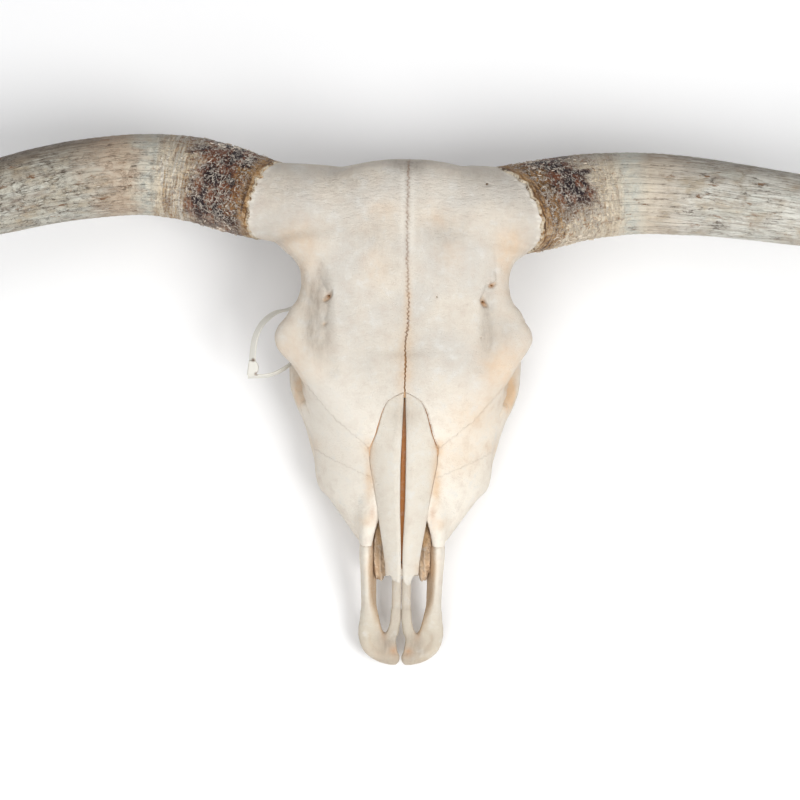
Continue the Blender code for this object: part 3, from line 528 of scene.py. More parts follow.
def grown(line, by):
    """The same bar with a larger section, to cut a close fit for it."""
    return [(x, y, z, wide + by, high + by) for x, y, z, wide, high in line]


def surface_height(field, x, y):
    """The level of the uppermost bone at (x, y)."""
    i, j = (int(round((value - low) / field.grain)) for value, low in zip((x, y), field.low))
    column = field.values[i, j]
    last = np.nonzero(column < 0)[0][-1]
    return field.axes[2][last] + field.grain * column[last] / (column[last] - column[last + 1])


def groove(field, line, soft=3):
    """Presses a shallow trough into the forehead along (x, y, depth, half width)."""
    rows = []
    for x, y, depth, half in line:
        high = max(half * 0.6, depth * 0.7)
        rows.append((x, y, surface_height(field, x, y) + high - depth, half, high))
    field.carve(bar(rows), soft)


bone = Field((-196, -432, -196), (172, 18, 22), GRAIN)
bone.join(loft(FOREHEAD, 2.6, 3.0, even_from=-26), 1)
bone.join(loft(BRAINCASE, 2.4, 2.2), 8)
bone.join(loft(FACE, 1.7, 2.6), 14)
bone.join(bar(SKULL_BASE), 8)
for which, side in SIDES:
    bone.join(horn_core(which, side), 8)
    for line, soft in ((CHEEK_RIM, 8), (POSTORBITAL_BAR, 8), (ZYGOMATIC_ARCH, 7), (JUGULAR_PROCESS, 8),
                       (PTERYGOID_PLATE, 5), (ALVEOLAR_RIDGE, 6), (CHEEK_CREST, 8), (EAR_TUBE, 5),
                       (BRAINCASE_SIDE, 8), (MAXILLA_LEDGE, 9)):
        bone.join(bar(line, side), soft)
    for lump, soft in ((GLENOID, 7), (CONDYLE, 5), (BULLA, 4), (FACIAL_TUBER, 12)):
        bone.join(egg(*lump, side), soft)
bone.join(bar(NAPE_RIDGE, up=(0, 1, 0)), 9)
bone.carve(bar(PALATE_VAULT), 6)
bone.join(bar(PALATE_RIDGE), 4)
bone.carve(loft(NASAL_CAVITY, 2.2, 2.4), 2)
bone.carve(bar(SPINAL_OPENING, samples=4), 3)
bone.carve(bar(REAR_NOSTRIL), 4)
for which, side in SIDES:
    for hollow, soft in ((ORBIT, 3), (ORBIT_DEPTH, 6), (BEHIND_THE_BAR, 6), (TEMPORAL_FOSSA, 6)):
        bone.carve(egg(*hollow, side), soft)
    bone.join(egg(*TEAR_BULGE, side), 6)
    bone.carve(bar(EAR_HOLE, side), 1.5)
    bone.carve(bar(CHEEK_HOLE, side), 2)
    for x, y, z, radius in SOCKET_HOLES:
        bone.carve(bar(((x + 14, y, z, radius, radius), (x - 16, y + 8, z, radius, radius)), side), 1.5)
for line in (RIGHT_BROW_GROOVE, LEFT_BROW_GROOVE, *CROWN_DIPS):
    groove(bone, line, 9)
groove(bone, LEFT_BROW_VEIN, 2)
groove(bone, RIGHT_BROW_FOLD, 4)
groove(bone, LEFT_BROW_FOLD, 4)
for x, y, wide, long, high in BROW_LIPS:
    bone.join(egg((x, y, surface_height(bone, x, y) - high * 0.45), (wide, long, high)), 2.5)
for crescent in BROW_CRESCENTS:
    groove(bone, crescent, 1.2)
for side in (-1, 1):
    groove(bone, [(x * side, y, depth, half) for x, y, depth, half in ORBIT_POCKET], 1.5)
for x, y, radius, lean_x, lean_y in BROW_HOLES:
    z = surface_height(bone, x, y)
    bone.carve(bar(((x - lean_x * 0.2, y - lean_y * 0.2, z + 2, radius, radius),
                    (x + lean_x, y + lean_y, z - 12, radius, radius)), samples=6), 1.2)
for which, side in SIDES:
    for line in (INCISIVE_BAR, TURBINATE_LINE):
        bone.carve(bar(grown(line, 0.2), side, 30), 0.3)
x, y, z = bone.window((-500, -500, -500), (500, 500, 500), 0)[1]
FLOOR_AT_POLL, FLOOR_SLOPE = -POLL_HEIGHT / math.cos(REST_TILT), -math.tan(REST_TILT)
bone.values = np.maximum(bone.values, (FLOOR_AT_POLL + FLOOR_SLOPE * y - z).astype(np.float32))
print("the fused bone's grid has", bone.values.size, "points")

# %% [markdown]
# ## Parting the bones
# A young animal's skull bones meet in saw-toothed sutures that close with age. Here the one skin is
# parted by prisms whose walls are serrated, with a hairline between the two sides, so every bone is its
# own closed piece and the sutures are real gaps that catch dirt. The frontals' own seam wanders, and
# opens to a crack in front, as it does on the photographed skull.

# %% Measures of the partings
SUTURE_GAP = 0.1
NASAL_CRACK = (                # (y, how far the crack beside the nasal bones is open)
    (-235, 0.0), (-246, 0.3), (-256, 1.0), (-262, 0.8), (-270, 1.5), (-280, 1.0), (-287, 1.2), (-291, 2.2),
    (-295, 1.6), (-300, 0.3), (-430, 0.1),
)
TOOTH_STEP, TOOTH_DEPTH = 3.2, 0.9      # the serration's teeth
MIDLINE = (                    # (y, x, width of the gap)
    (40, 0, 0.12), (0, 0, 0.12), (-60, 0, 0.15), (-100, 0.4, 0.15), (-130, 1.5, 0.2), (-146, 2.4, 0.3),
    (-165, 2.2, 0.4), (-180, 0.6, 0.8), (-190, -0.4, 1.2), (-205, 0.3, 2.2), (-220, 0.2, 1.4),
    (-234, -0.2, 1.6), (-262, 0, 2.6), (-320, 0, 2.6),
)
SIDE_REGIONS = (
    ("frontal", (
        ("y", ((0, -57), (60, -57), (114, -102), (260, -102), (260, 60), (0, 60)), -112, 30),
        ("z", ((0, -100), (260, -100), (260, -150), (140, -205), (101, -226), (70, -262), (34, -291),
               (0, -300)), -52, 60),
    )),
    ("temporal", (
        ("x", ((-30, -40), (-30, -104), (-58, -124), (-58, -180), (-112, -180), (-140, -110),
               (-140, -40)), 32, 150),
    )),
    ("zygomatic", (
        ("x", ((-132, -40), (-132, -111), (-225, -111), (-292, -86), (-262, -68), (-226, -58),
               (-200, -40)), 66, 150),
    )),
    ("lacrimal", (
        ("z", ((33, -320), (20, -300), (20, -280), (60, -230), (60, -205), (140, -205), (140, -262),
               (93, -292), (72, -303)), -70, 60),
    )),
    ("maxilla", (
        ("x", ((-204, -84), (-204, -180), (-440, -180), (-440, 60), (-215, 60), (-215, -84)), 0, 150),
    )),
)
OCCIPITAL_REGION = (
    ("x", ((30, -40), (30, -220), (-52, -220), (-62, -40)), -150, 150),
)


# %% Cutting tools
def mesh_object(name, points, faces):
    """A mesh in the skull's frame, with its faces turned outwards."""
    bm = bmesh.new()
    verts = [bm.verts.new(point) for point in points]
    for face in faces:
        bm.faces.new([verts[i] for i in face])
    bmesh.ops.recalc_face_normals(bm, faces=bm.faces)
    mesh = bpy.data.meshes.new(name)
    bm.to_mesh(mesh)
    bm.free()
    return placed(name, mesh)


def quads_object(name, points, quads):
    """A mesh from arrays of points and quads that already face outwards."""
    mesh = bpy.data.meshes.new(name)
    mesh.vertices.add(len(points))
    mesh.vertices.foreach_set("co", points.astype(np.float32).ravel())
    mesh.loops.add(quads.size)
    mesh.loops.foreach_set("vertex_index", quads.astype(np.int32).ravel())
    mesh.polygons.add(len(quads))
    mesh.polygons.foreach_set("loop_start", np.arange(0, quads.size, quads.shape[1], dtype=np.int32))
    mesh.update(calc_edges=True)
    return placed(name, mesh)


def prism(name, outline, low, high, axis="z", side=1):
    """A flat outline pushed along an axis. Its points are (x, y) for z, (x, z) for y, (y, z) for x."""
    place = {
        "z": lambda a, b, level: (a * side, b, level),
        "y": lambda a, b, level: (a * side, level, b),
        "x": lambda a, b, level: (level * side, a, b),
    }[axis]
    count = len(outline)
    points = [place(a, b, level) for level in (low, high) for a, b in outline]
    walls = [(i, (i + 1) % count, (i + 1) % count + count, i + count) for i in range(count)]
    return mesh_object(name, points, [*walls, range(count), range(count, 2 * count)])


def serrated(outline, seed):
    """The outline with small teeth of uneven depth along it."""
    chance = np.random.default_rng(seed)
    points = []
    for (ax, ay), (bx, by) in zip(outline, outline[1:] + outline[:1]):
        length = math.hypot(bx - ax, by - ay)
        count = max(1, round(length / TOOTH_STEP))
        for i in range(count):
            out = 0 if i == 0 else TOOTH_DEPTH * (-1) ** i * chance.uniform(0.1, 1)
            t = (i + (chance.uniform(-0.3, 0.3) if i else 0)) / count
            points.append((ax + (bx - ax) * t + (by - ay) / length * out,
                           ay + (by - ay) * t - (bx - ax) / length * out))
    return points


def grown_outline(outline, by):
    """The outline with each edge moved out by the given distance."""
    points = [Vector(point) for point in outline]
    area = sum(a.x * b.y - b.x * a.y for a, b in zip(points, points[1:] + points[:1]))
    turn = 1 if area > 0 else -1
    moved = []
    for i, point in enumerate(points):
        edges = (point - points[i - 1]).normalized(), (points[(i + 1) % len(points)] - point).normalized()
        normals = [Vector((edge.y, -edge.x)) * turn for edge in edges]
        middle = (normals[0] + normals[1]).normalized()
        moved.append(tuple(point + middle * by / max(0.5, middle.dot(normals[0]))))
    return moved


def boolean(target, tool, operation):
    """target after the operation with tool; target itself is used up, tool is kept."""
    cut = target.modifiers.new("cut", "BOOLEAN")
    cut.operation, cut.object, cut.solver = operation, tool, "MANIFOLD"
    mesh = bpy.data.meshes.new_from_object(target.evaluated_get(bpy.context.evaluated_depsgraph_get()))
    made = placed(target.name, mesh)
    remove(target)
    return made


def remove(*objects):
    for obj in objects:
        bpy.data.objects.remove(obj)


def duplicate(obj, name):
    return placed(name, obj.data.copy())


def largest_body(obj):
    """Drops the crumbs that a cut leaves beside the main piece."""
    mesh = obj.data
    ends = np.empty(len(mesh.edges) * 2, np.int32)
    mesh.edges.foreach_get("vertices", ends)
    first, second = ends.reshape(-1, 2).T
    label = np.arange(len(mesh.vertices))
    while True:
        lowest = np.minimum(label[first], label[second])
        before = label.copy()
        np.minimum.at(label, first, lowest)
        np.minimum.at(label, second, lowest)
        label = label[label]
        if (label == before).all():
            break
    names, counts = np.unique(label, return_counts=True)
    crumbs = np.nonzero(label != names[counts.argmax()])[0]
    if len(crumbs):
        bm = bmesh.new()
        bm.from_mesh(mesh)
        bm.verts.ensure_lookup_table()
        bmesh.ops.delete(bm, geom=[bm.verts[i] for i in crumbs], context="VERTS")
        bm.to_mesh(mesh)
        bm.free()
    return obj


# %% The frontals' own seam
seam_y = np.concatenate([[40], np.arange(-2, -234, -2.3), [-240, -262, -320]])
seam_rows = smooth_table([row[1:] for row in MIDLINE], [-row[0] for row in MIDLINE], -seam_y)
seam_teeth = np.random.default_rng(5).uniform(0.2, 1.0, len(seam_y)) * np.where(seam_y > -236, 1.5, 0)
seam_teeth[::2] *= -1
seam_x = seam_rows[:, 0] + seam_teeth * np.interp(-seam_y, [0, 168, 182, 230], [1, 1, 0.5, 0.3])


def half_space(side, gap_share):
    """All that lies on one side of the frontals' seam."""
    edge = [(x + side * width * gap_share, y) for x, y, width in zip(seam_x, seam_y, seam_rows[:, 1])]
    return prism("half", edge + [(side * 300, -320), (side * 300, 40)], -250, 80)


def region(name, blocks, side, grow):
    """The closed space that a bone takes."""
    made = None
    for number, (axis, outline, low, high) in enumerate(blocks):
        shape = grown_outline(serrated(outline, len(name) + number), grow)
        if axis != "x":
            shape = [(a if a > 1 else -6, b) for a, b in shape]
        block = prism("block", shape, low - grow if low else SUTURE_GAP / 2, high + grow, axis, side)
        if made is None:
            made = block
        else:
            made = boolean(made, block, "UNION")
            remove(block)
    if name == "frontal":
        half = half_space(side, 0.5 if not grow else -0.5)
        made = boolean(made, half, "INTERSECT")
        remove(half)
    return made


def filler(rows, depth):
    """Dried gristle that lies in an open seam. rows: x and y of both edges, and the level of its top."""
    points = [(x, y, level - down) for down in (0, depth) for ax, ay, bx, by, level in rows
              for x, y in ((ax, ay), (bx, by))]
    last = 2 * len(rows)
    faces = []
    for i in range(0, last - 2, 2):
        a, b, c, d = i, i + 1, i + 3, i + 2
        faces += [(a, b, c, d), (a + last, d + last, c + last, b + last), (a, d, d + last, a + last),
                  (b, b + last, c + last, c)]
    faces += [(0, last, last + 1, 1), (last - 2, last - 1, 2 * last - 1, 2 * last - 2)]
    return mesh_object("gristle", points, faces)


# %% Part the fused bone
whole = quads_object("fused_bone", *bone.mesh())
# The nasal bones' outer edges meet the bone beside them
NASAL = [(*row[:4], row[3] - surface_height(bone, -row[2] - 1.5, row[0])) if -350 < row[0] < -240 else row
         for row in NASAL]
nasal_keys = [-row[0] for row in NASAL]


def nasal_plan(step=4.0):
    """One nasal bone's outer edge, from the forehead to its free tip."""
    at = np.append(np.arange(nasal_keys[0], nasal_keys[-1], step), nasal_keys[-1])
    return [(row[2], row[0]) for row in smooth_table(NASAL, nasal_keys, at)]


crack_y, crack_width = zip(*reversed(NASAL_CRACK))
left_edge = [(x + np.interp(y, crack_y, crack_width), y) for x, y in nasal_plan()]
socket_outline = grown_outline(left_edge + [(-x, y) for x, y in reversed(left_edge)], SUTURE_GAP)
socket = prism("socket", socket_outline, SOCKET_FLOOR, 60)
whole = boolean(whole, socket, "DIFFERENCE")
remove(socket)


def parted(whole, title, name, blocks, side=1):
    """One bone, and what is left of the rest."""
    wanted, taken = (region(name, blocks, side, grow) for grow in (0, SUTURE_GAP))
    piece = largest_body(boolean(duplicate(whole, title), wanted, "INTERSECT"))
    whole = boolean(whole, taken, "DIFFERENCE")
    remove(wanted, taken)
    return piece, whole


bones = {}
for which, side in SIDES:
    for name, blocks in SIDE_REGIONS:
        title = f"{name}_{which}"
        bones[title], whole = parted(whole, title, name, blocks, side)
bones["occipital"], whole = parted(whole, "occipital", "occipital", OCCIPITAL_REGION)
bones["cranial_base"] = largest_body(whole)
gristle = [filler([(x - width / 2 - 0.25, y, x + width / 2 + 0.25, y, surface_height(bone, x, y) - 2.2)
                   for x, y, width in zip(seam_x, seam_y, seam_rows[:, 1]) if -259 < y < -166], 4.0)]
for side in (-1, 1):
    rows = [(side * (x - 0.6), y, side * (x + np.interp(y, crack_y, crack_width) + 0.6), y,
             surface_height(bone, x + 1.5, y) - 0.9) for x, y in nasal_plan() if -302 < y < -240]
    gristle.append(filler(rows, 3.0))
for name, obj in bones.items():
    obj.data.materials.clear()
    print(name, len(obj.data.polygons))


# %% [markdown]
# ## The loose bones
# The nasal and incisive bones, the scrolls in the nose and the plough bone stand free of their
# neighbours, so each has a small field of its own with a finer grain. A nasal bone is a slab whose top
# follows the measures and whose tip is split, as the photo shows.

# %% Nasal bones
def side_field(side, near, far, low, high, grain):
    """A block that reaches from near to far on one side of the middle."""
    ends = (near, far) if side > 0 else (-far, -near)
    return Field((ends[0], *low), (ends[1], *high), grain)


NASAL_TIPS = {                 # the free end's plan, from the outer side to the inner
    "right": ((17.0, -405), (16.6, -417), (15.8, -419.5), (13.0, -418), (10.8, -419), (9.2, -423),
              (6.4, -424.4), (2.0, -426.2), (1.0, -424), (0.6, -412)),
    "left": ((17.4, -405), (16.8, -416), (15.8, -418), (12.6, -417.6), (10.6, -421), (8.6, -427.6),
             (6.2, -428.4), (3.2, -426), (1.2, -423.5), (0.5, -412)),
}
SLIT_LEAN = 0.4                # the slit runs that far to the animal's right of the middle


def nasal_top(x, y):
    rows = smooth_table(NASAL, nasal_keys, -np.ravel(y))
    inner, outer, height, drop = (rows[None, :, i, None] for i in range(1, 5))
    share = np.clip((x - inner) / np.maximum(outer - inner, 1), 0, 1.1)
    roll = np.clip(1 - (x - inner) / 3.0, 0, 1)
    return height - drop * share**2.2 - 0.8 * roll**2 + 0.5 * np.exp(-((share - 0.22) / 0.12) ** 2)


def nasal_field(which, side):
    at = np.arange(-nasal_keys[0], -404, -3.0)
    rows = smooth_table(NASAL, nasal_keys, -at)
    outer = [(row[2] + 0.4, row[0]) for row in rows]
    inner = [(row[1] - side * SLIT_LEAN * np.clip((-280 - row[0]) / 30, 0, 1), row[0]) for row in rows]
    plan = outer + list(NASAL_TIPS[which]) + inner[::-1]
    field = side_field(side, 0, 37, (-430, -24), (-232, 13), 0.85)
    field.join(slab(plan, nasal_top, lambda x, y: nasal_top(x, y) - NASAL_THICKNESS, side, 0.6), 1)
    return field


# %% Incisive bones
INCISIVE_WALL = ((27.5, -478, -55, 2.6, 4), (28.2, -458, -56, 3.0, 6), (28.6, -432, -55, 3.0, 9),
                 (28.8, -405, -50, 3.0, 12))
PREMAXILLA_FOOT = ((24, -484, -55.5, 8, 4.5), (14, -494, -56, 8, 4.5))


def incisive_field(side):
    field = side_field(side, -2, 48, (-516, -72), (-346, -2), 1.1)
    field.join(slab(INCISIVE_OUTLINE, -50.5, -58.5, side, 3.0), 1)
    for line, soft in ((INCISIVE_BAR, 4), (INCISIVE_RIM, 4), (PALATINE_BAR, 3), (INCISIVE_WALL, 3),
                       (PREMAXILLA_FOOT, 4)):
        field.join(bar(line, side, 30), soft)
    field.carve(bar(((4.6, -500, -50, 1.3, 1.2), (9, -495, -49, 1.0, 1)), side), 2)
    field.carve(slab(((-60, -520), (-0.3, -520), (-0.3, -340), (-60, -340)), 20, -90, side), 0.2)
    return field


# %% Scrolls and plough bone
VOMER_LINE = ((0, -262, -40, 2.2, 30), (0, -300, -40, 2.4, 34), (0, -345, -41, 2.2, 34),
              (0, -370, -42, 2.0, 32), (0, -392, -44, 2.0, 28), (0, -404, -52, 1.8, 16))
# The septum's gristle fills the slit between the nasal bones to just under their top
GRISTLE_PLAN = ((1.4, -241), (2.4, -258), (3.4, -276), (3.4, -350), (2.6, -384), (1.4, -404), (-1.4, -404),
                (-3.2, -384), (-3.8, -350), (-3.6, -276), (-2.4, -258), (-1.4, -241))


def turbinate_field(side):
    field = side_field(side, 6, 30, (-426, -70), (-318, -20), 1.0)
    field.join(bar(TURBINATE_LINE, side, 24), 1)
    x, y, z = field.window((-99, -999, -99), (99, 99, 99), 0)[1]
    field.values += (0.9 * np.sin(z * 1.15 + 0.7 * np.sin(y / 7)) * np.sin(y / 2.6 + x * 1.3)
                     + 0.8 * np.sin(x * 1.25 + 1.6 * np.sin(y / 11)) + 0.4 * np.sin(z * 0.55 + y * 0.12)
                     ).astype(np.float32)
    return field


def vomer_field():
    field = Field((-7, -414, -84), (7, -232, 8), 1.1)
    field.join(bar(VOMER_LINE, samples=24), 1)

    def under_nasals(x, y):
        return nasal_top(np.full((1, 1, 1), 3.0), y) - NASAL_THICKNESS - 0.6

    field.join(slab(GRISTLE_PLAN, under_nasals, -30, rim=1.0), 1)
    return field


fields = {"vomer": vomer_field()}
for which, side in SIDES:
    fields[f"nasal_{which}"] = nasal_field(which, side)
    fields[f"incisive_{which}"] = incisive_field(side)
    fields[f"turbinate_{which}"] = turbinate_field(side)
for name, field in fields.items():
    bones[name] = largest_body(quads_object(name, *field.mesh(1 if "incisive" not in name else 2)))
print("loose bones:", [(name, len(obj.data.polygons)) for name, obj in list(bones.items())[-7:]])

# %% [markdown]
# ## Bone as a material
# Sun-bleached bone is matt, chalky white where it is thick and worn, cream to peach where it is thin or was
# greasy, and grey where dust and algae sat in the brow's grooves. Its hollows and seams are brown with
# dirt, and painted shade darkens the hollows, the undersides, the pockets under the eyes, the nerve holes
# and the poll's edge in brown, peach and grey; pale spots paint light onto the side of the face that is
# turned from the key light. The places are numbers that each vertex carries, painted by rule below; the
# material turns them into colour and breaks them up with noise, and its bump gives the grain, pores and the
# nape's fibres.

# %% The bone's material
TEXTURE_TILT = -REST_TILT       # turns world coordinates back to the skull's own


def skull_coordinates(tree, scale=(1000, 1000, 1000)):
    """Object coordinates in the skull's own directions, in millimetres times a stretch."""
    place = add(tree, "TexCoord").outputs["Object"]
    turned = add(tree, "Mapping", (place, 0), Rotation=(TEXTURE_TILT, 0, 0))
    return add(tree, "Mapping", (turned, 0), Scale=scale)


def product(tree, *parts):
    """The parts multiplied, each step kept from 0 to 1. A part is a source, or a source and its range."""
    total = None
    for part in parts:
        if isinstance(part, tuple):
            part = add(tree, "MapRange", *part)
        total = part if total is None else add(tree, "Math MULTIPLY", total, part, use_clamp=True)
    return total


class Coat:
    """A colour built up in layers over a base, each laid on by the product of its parts."""

    def __init__(self, tree, base):
        self.tree = tree
        self.top = add(tree, "RGB").outputs[0]
        self.top.default_value = paint(base)

    def layer(self, colour, *parts):
        mix = add(self.tree, "Mix", product(self.tree, *parts), (self.top, 6), _7=paint(colour),
                  data_type="RGBA")
        self.top = mix.outputs[2]

    def dress(self, shader, relief, strength, depth):
        """Links the colour and a bump into the shader."""
        bump = add(self.tree, "Bump", (relief, "Height"), Strength=strength, Distance=depth)
        self.tree.links.new(bump.outputs[0], shader.inputs["Normal"])
        self.tree.links.new(self.top, shader.inputs["Base Color"])


def bone_material(name, thick, thin, face, roughness=0.62, pore=0.35, chalky=0.55):
    """thick and thin are the patches' colours, face is the colour in front of the eyes."""
    made, tree, shader = new_material(name, Roughness=roughness, Specular_IOR_Level=0.35, IOR=1.55)
    mm = skull_coordinates(tree)

    def mark(title):
        return add(tree, "Attribute", attribute_name=title).outputs["Fac"]

    wide = add(tree, "TexNoise", mm, Scale=1 / 45, Detail=3.0)
    patches = add(tree, "TexNoise", mm, Scale=1 / 13, Detail=5.0, Roughness=0.62)
    grain = add(tree, "TexNoise", mm, Scale=1 / 2.2, Detail=4.0, Roughness=0.7)
    fibres = add(tree, "TexNoise", skull_coordinates(tree, (380, 1000, 500)), Scale=1 / 3.4, Detail=5.0,
                 Roughness=0.65, Distortion=1.4)
    smudges = add(tree, "TexNoise", skull_coordinates(tree, (1000, 260, 600)), Scale=1 / 3.6, Detail=5.0,
                  Roughness=0.65)
    coat = Coat(tree, thick)
    coat.layer(thin, (wide, 0.38, 0.62))
    coat.layer(face, mark("face"))
    coat.layer("C3B1A2", (patches, 0.5, 0.74, 0.0, 0.4))             # worn
    coat.layer("DCDAD4", (patches, 0.46, 0.3, 0.0, chalky))          # chalky
    # Peach: greasy bone, and painted shade in the pockets under the eyes and on lower faces
    coat.layer("DCBE9C", mark("peach"), (patches, 0.25, 0.75, 0.45, 1.3))
    # Grey: stains, and painted shade on the poll's edge, in the crown's hollows and on lower faces
    coat.layer("897D70", mark("grey"), (smudges, 0.3, 0.66, 0.5, 1.15))
    coat.layer("B0A599", (fibres, 0.54, 0.7, 0.0, 0.45), mark("fibre"))
    coat.layer("E8E2D7", mark("edge"), 0.5)                          # bleached edges and chalk, and painted light on the face's shaded side
    coat.layer("BE9A70", mark("hollow"), (grain, 0.3, 0.7, 0.6, 1.2))    # dirt and painted shade in the hollows
    # Orange-brown: grease in the nose passage, and painted shade on its undersides and in the brow's nerve
    # holes
    coat.layer("B67B45", mark("inner"), (grain, 0.3, 0.7, 0.6, 1.2))
    coat.layer("B39B80", (grain, 0.66, 0.8, 0.0, 0.35))              # specks
    coat.layer("80532E", mark("suture"), (grain, 0.36, 0.6, 0.15, 1.2))
    pores = add(tree, "TexVoronoi", mm, Scale=1 / 1.7).outputs["Distance"]
    height = add(tree, "Math ADD", grain, add(tree, "MapRange", pores, 0.12, 0.42, -pore, 0.0))
    rib = add(tree, "Math MULTIPLY_ADD", fibres, mark("fibre"), 0.0)
    coat.dress(shader, add(tree, "Math MULTIPLY_ADD", rib, 3.0, height), 0.9, 0.0006)
    return made


bleached_bone = bone_material("sun_bleached_skull_bone", "CDC7BD", "D7CEC0", "ECE4D6")
thin_bone = bone_material("thin_dry_nasal_bone", "D0C8BA", "DAD0BF", "DAD2C4", roughness=0.6)
nose_bone = bone_material("greasy_incisive_bone", "C5BBAA", "CBC1AE", "E8E0D2", roughness=0.58)
scroll_bone = bone_material("porous_scroll_bone", "A88F74", "BCA385", "AF967A", roughness=0.8, pore=1.4)
septum = bone_material("dried_septum_gristle", "9C602C", "B4763E", "A96B33", roughness=0.6, chalky=0)

# Worn enamel: glossier and yellower than bone, and brown in its hollows, partly stain and partly painted
# shade
enamel, enamel_tree, enamel_shader = new_material("worn_tooth_enamel", Roughness=0.35, IOR=1.62)
streaks = add(enamel_tree, "TexNoise", skull_coordinates(enamel_tree, (1000, 1000, 150)), Scale=1 / 2.5,
              Detail=4.0)
coat = Coat(enamel_tree, "D9CBAE")
coat.layer("A88F68", (streaks, 0.45, 0.75, 0.0, 0.55))
coat.layer("4A3522", add(enamel_tree, "Attribute", attribute_name="hollow").outputs["Fac"])
coat.dress(enamel_shader, streaks, 0.4, 0.0003)
print("bone materials:", [item.name for item in bpy.data.materials if "bone" in item.name])

# %% [markdown]
# ## The cheek teeth
# Cattle grind with teeth whose worn face shows crescents of enamel round hollows, and whose outer wall
# stands in ridges. One premolar and one molar are made, and Geometry Nodes set them along each jaw at
# the sizes that the model gives.

# %% One molar and one premolar
TEETH = ((27, 21), (27, 22), (24, 20), (18, 19), (18, 17), (14, 13))   # back to front: length, breadth
TEETH_BACK_Y = -209.0
TEETH_LINE = ((-209, 55), (-262, 57), (-300, 53), (-345, 44))
TOOTH_HEIGHT = 26.0


def cheek_tooth(name, lobes):
    """A tooth in a box of one by one by its height: x is across, outwards, and y is along the jaw."""
    length, breadth = (26.0, 21.0) if lobes == 2 else (17.0, 17.0)
    plan = []
    for i in range(72):
        angle = 2 * math.pi * i / 72
        across, along = math.cos(angle), math.sin(angle)
        x = math.copysign(abs(across) ** 0.62, across) * breadth / 2
        y = math.copysign(abs(along) ** 0.62, along) * length / 2
        wave = math.cos(2 * math.pi * lobes * y / length)
        x += (0.8 if across > 0 else 1.7) * (wave if across > 0 else -wave) * abs(across) ** 0.5
        plan.append((x, y))
    field = Field((-14, -16, -1), (14, 16, TOOTH_HEIGHT + 3), 1.0)
    field.join(slab(plan, TOOTH_HEIGHT, lambda x, y: 0.9 * np.cos(2 * np.pi * lobes * y / length)
                    * np.clip(x / 6, -0.4, 1) + 0.95, rim=2.0), 1)
    for lobe in range(lobes):
        middle = (lobe + 0.5 - lobes / 2) * length / lobes
        for curl, shift, reach, half, deep, start, end in ((1.8, 0.6, 4.2, 0.9, 2.6, 0.55, 1.45),
                                                           (-2.4, 2.2, 3.6, 0.7, 2.2, -0.4, 0.4)):
            arc = [(curl * math.cos(a) + shift, middle + reach * math.sin(a), 0.6, half, deep)
                   for a in np.linspace(math.pi * start, math.pi * end, 6)]
            field.carve(bar(arc, samples=8), 0.8)
    points, quads = field.mesh(1)
    points /= (breadth, length, 1)
    tooth = quads_object(name, points, quads)
    tooth.data.shade_smooth()
    return tooth


molar, premolar = cheek_tooth("molar", 2), cheek_tooth("premolar", 1)


# %% A tree that sets teeth along a jaw
PATH_POINTS = 90               # points on a measured line that a tree sweeps


def new_tree(name, *sockets):
    """An empty Geometry Nodes tree with the named inputs, and its two ends."""
    tree = bpy.data.node_groups.new(name, "GeometryNodeTree")
    tree.interface.new_socket("Geometry", in_out="OUTPUT", socket_type="NodeSocketGeometry")
    for title, kind in (("Geometry", "Geometry"), *sockets):
        tree.interface.new_socket(title, in_out="INPUT", socket_type="NodeSocket" + kind)
    return tree, tree.nodes.new("NodeGroupInput"), tree.nodes.new("NodeGroupOutput")


def grow(obj, tree, name, **inputs):
    """The plain mesh that a tree makes on obj with the given inputs. obj is used up."""
    modifier = obj.modifiers.new("tree", "NODES")
    modifier.node_group = tree
    for socket in tree.interface.items_tree:
        if socket.in_out == "INPUT" and socket.name.replace(" ", "_") in inputs:
            modifier[socket.identifier] = inputs[socket.name.replace(" ", "_")]
    mesh = bpy.data.meshes.new_from_object(obj.evaluated_get(bpy.context.evaluated_depsgraph_get()))
    remove(obj)
    return placed(name, mesh)


def points_object(name, points, chained=False, **attributes):
    """Loose points or a chain of them, with a number or a vector at each."""
    mesh = bpy.data.meshes.new(name)
    edges = [(i, i + 1) for i in range(len(points) - 1)] if chained else []
    mesh.from_pydata([tuple(point) for point in points], edges, [])
    for title, values in attributes.items():
        values = np.array(values, float)
        kind, field = ("FLOAT", "value") if values.ndim == 1 else ("FLOAT_VECTOR", "vector")
        mesh.attributes.new(title, kind, "POINT").data.foreach_set(field, values.ravel())
    return placed(name, mesh)


row_tree, row_in, row_out = new_tree(
    "tooth_row", ("Molar", "Object"), ("Premolar", "Object"), ("Enamel", "Material"))
teeth = partial(add, row_tree)
size_at, turn_at = (teeth("InputNamedAttribute", data_type="FLOAT_VECTOR", Name=title)
                    for title in ("size", "turn"))
is_molar = teeth("InputNamedAttribute", data_type="FLOAT", Name="molar")
molars = teeth("Compare GREATER_THAN", is_molar, 0.5)
parts = []
for title, chosen in (("Premolar", teeth("BooleanMath NOT", molars)), ("Molar", molars)):
    shape = teeth("ObjectInfo", (row_in.outputs[title], "Object")).outputs["Geometry"]
    set_here = teeth("InstanceOnPoints", (row_in, "Points"), (chosen, "Selection"), (shape, "Instance"),
                     (size_at, "Scale"), (turn_at, "Rotation"))
    parts.append((set_here, 0))
row = teeth("JoinGeometry", *parts)
row = teeth("RealizeInstances", row)
row = teeth("SetMaterial", row, (row_in.outputs["Enamel"], "Material"))
row_tree.links.new(row.outputs[0], row_out.inputs[0])


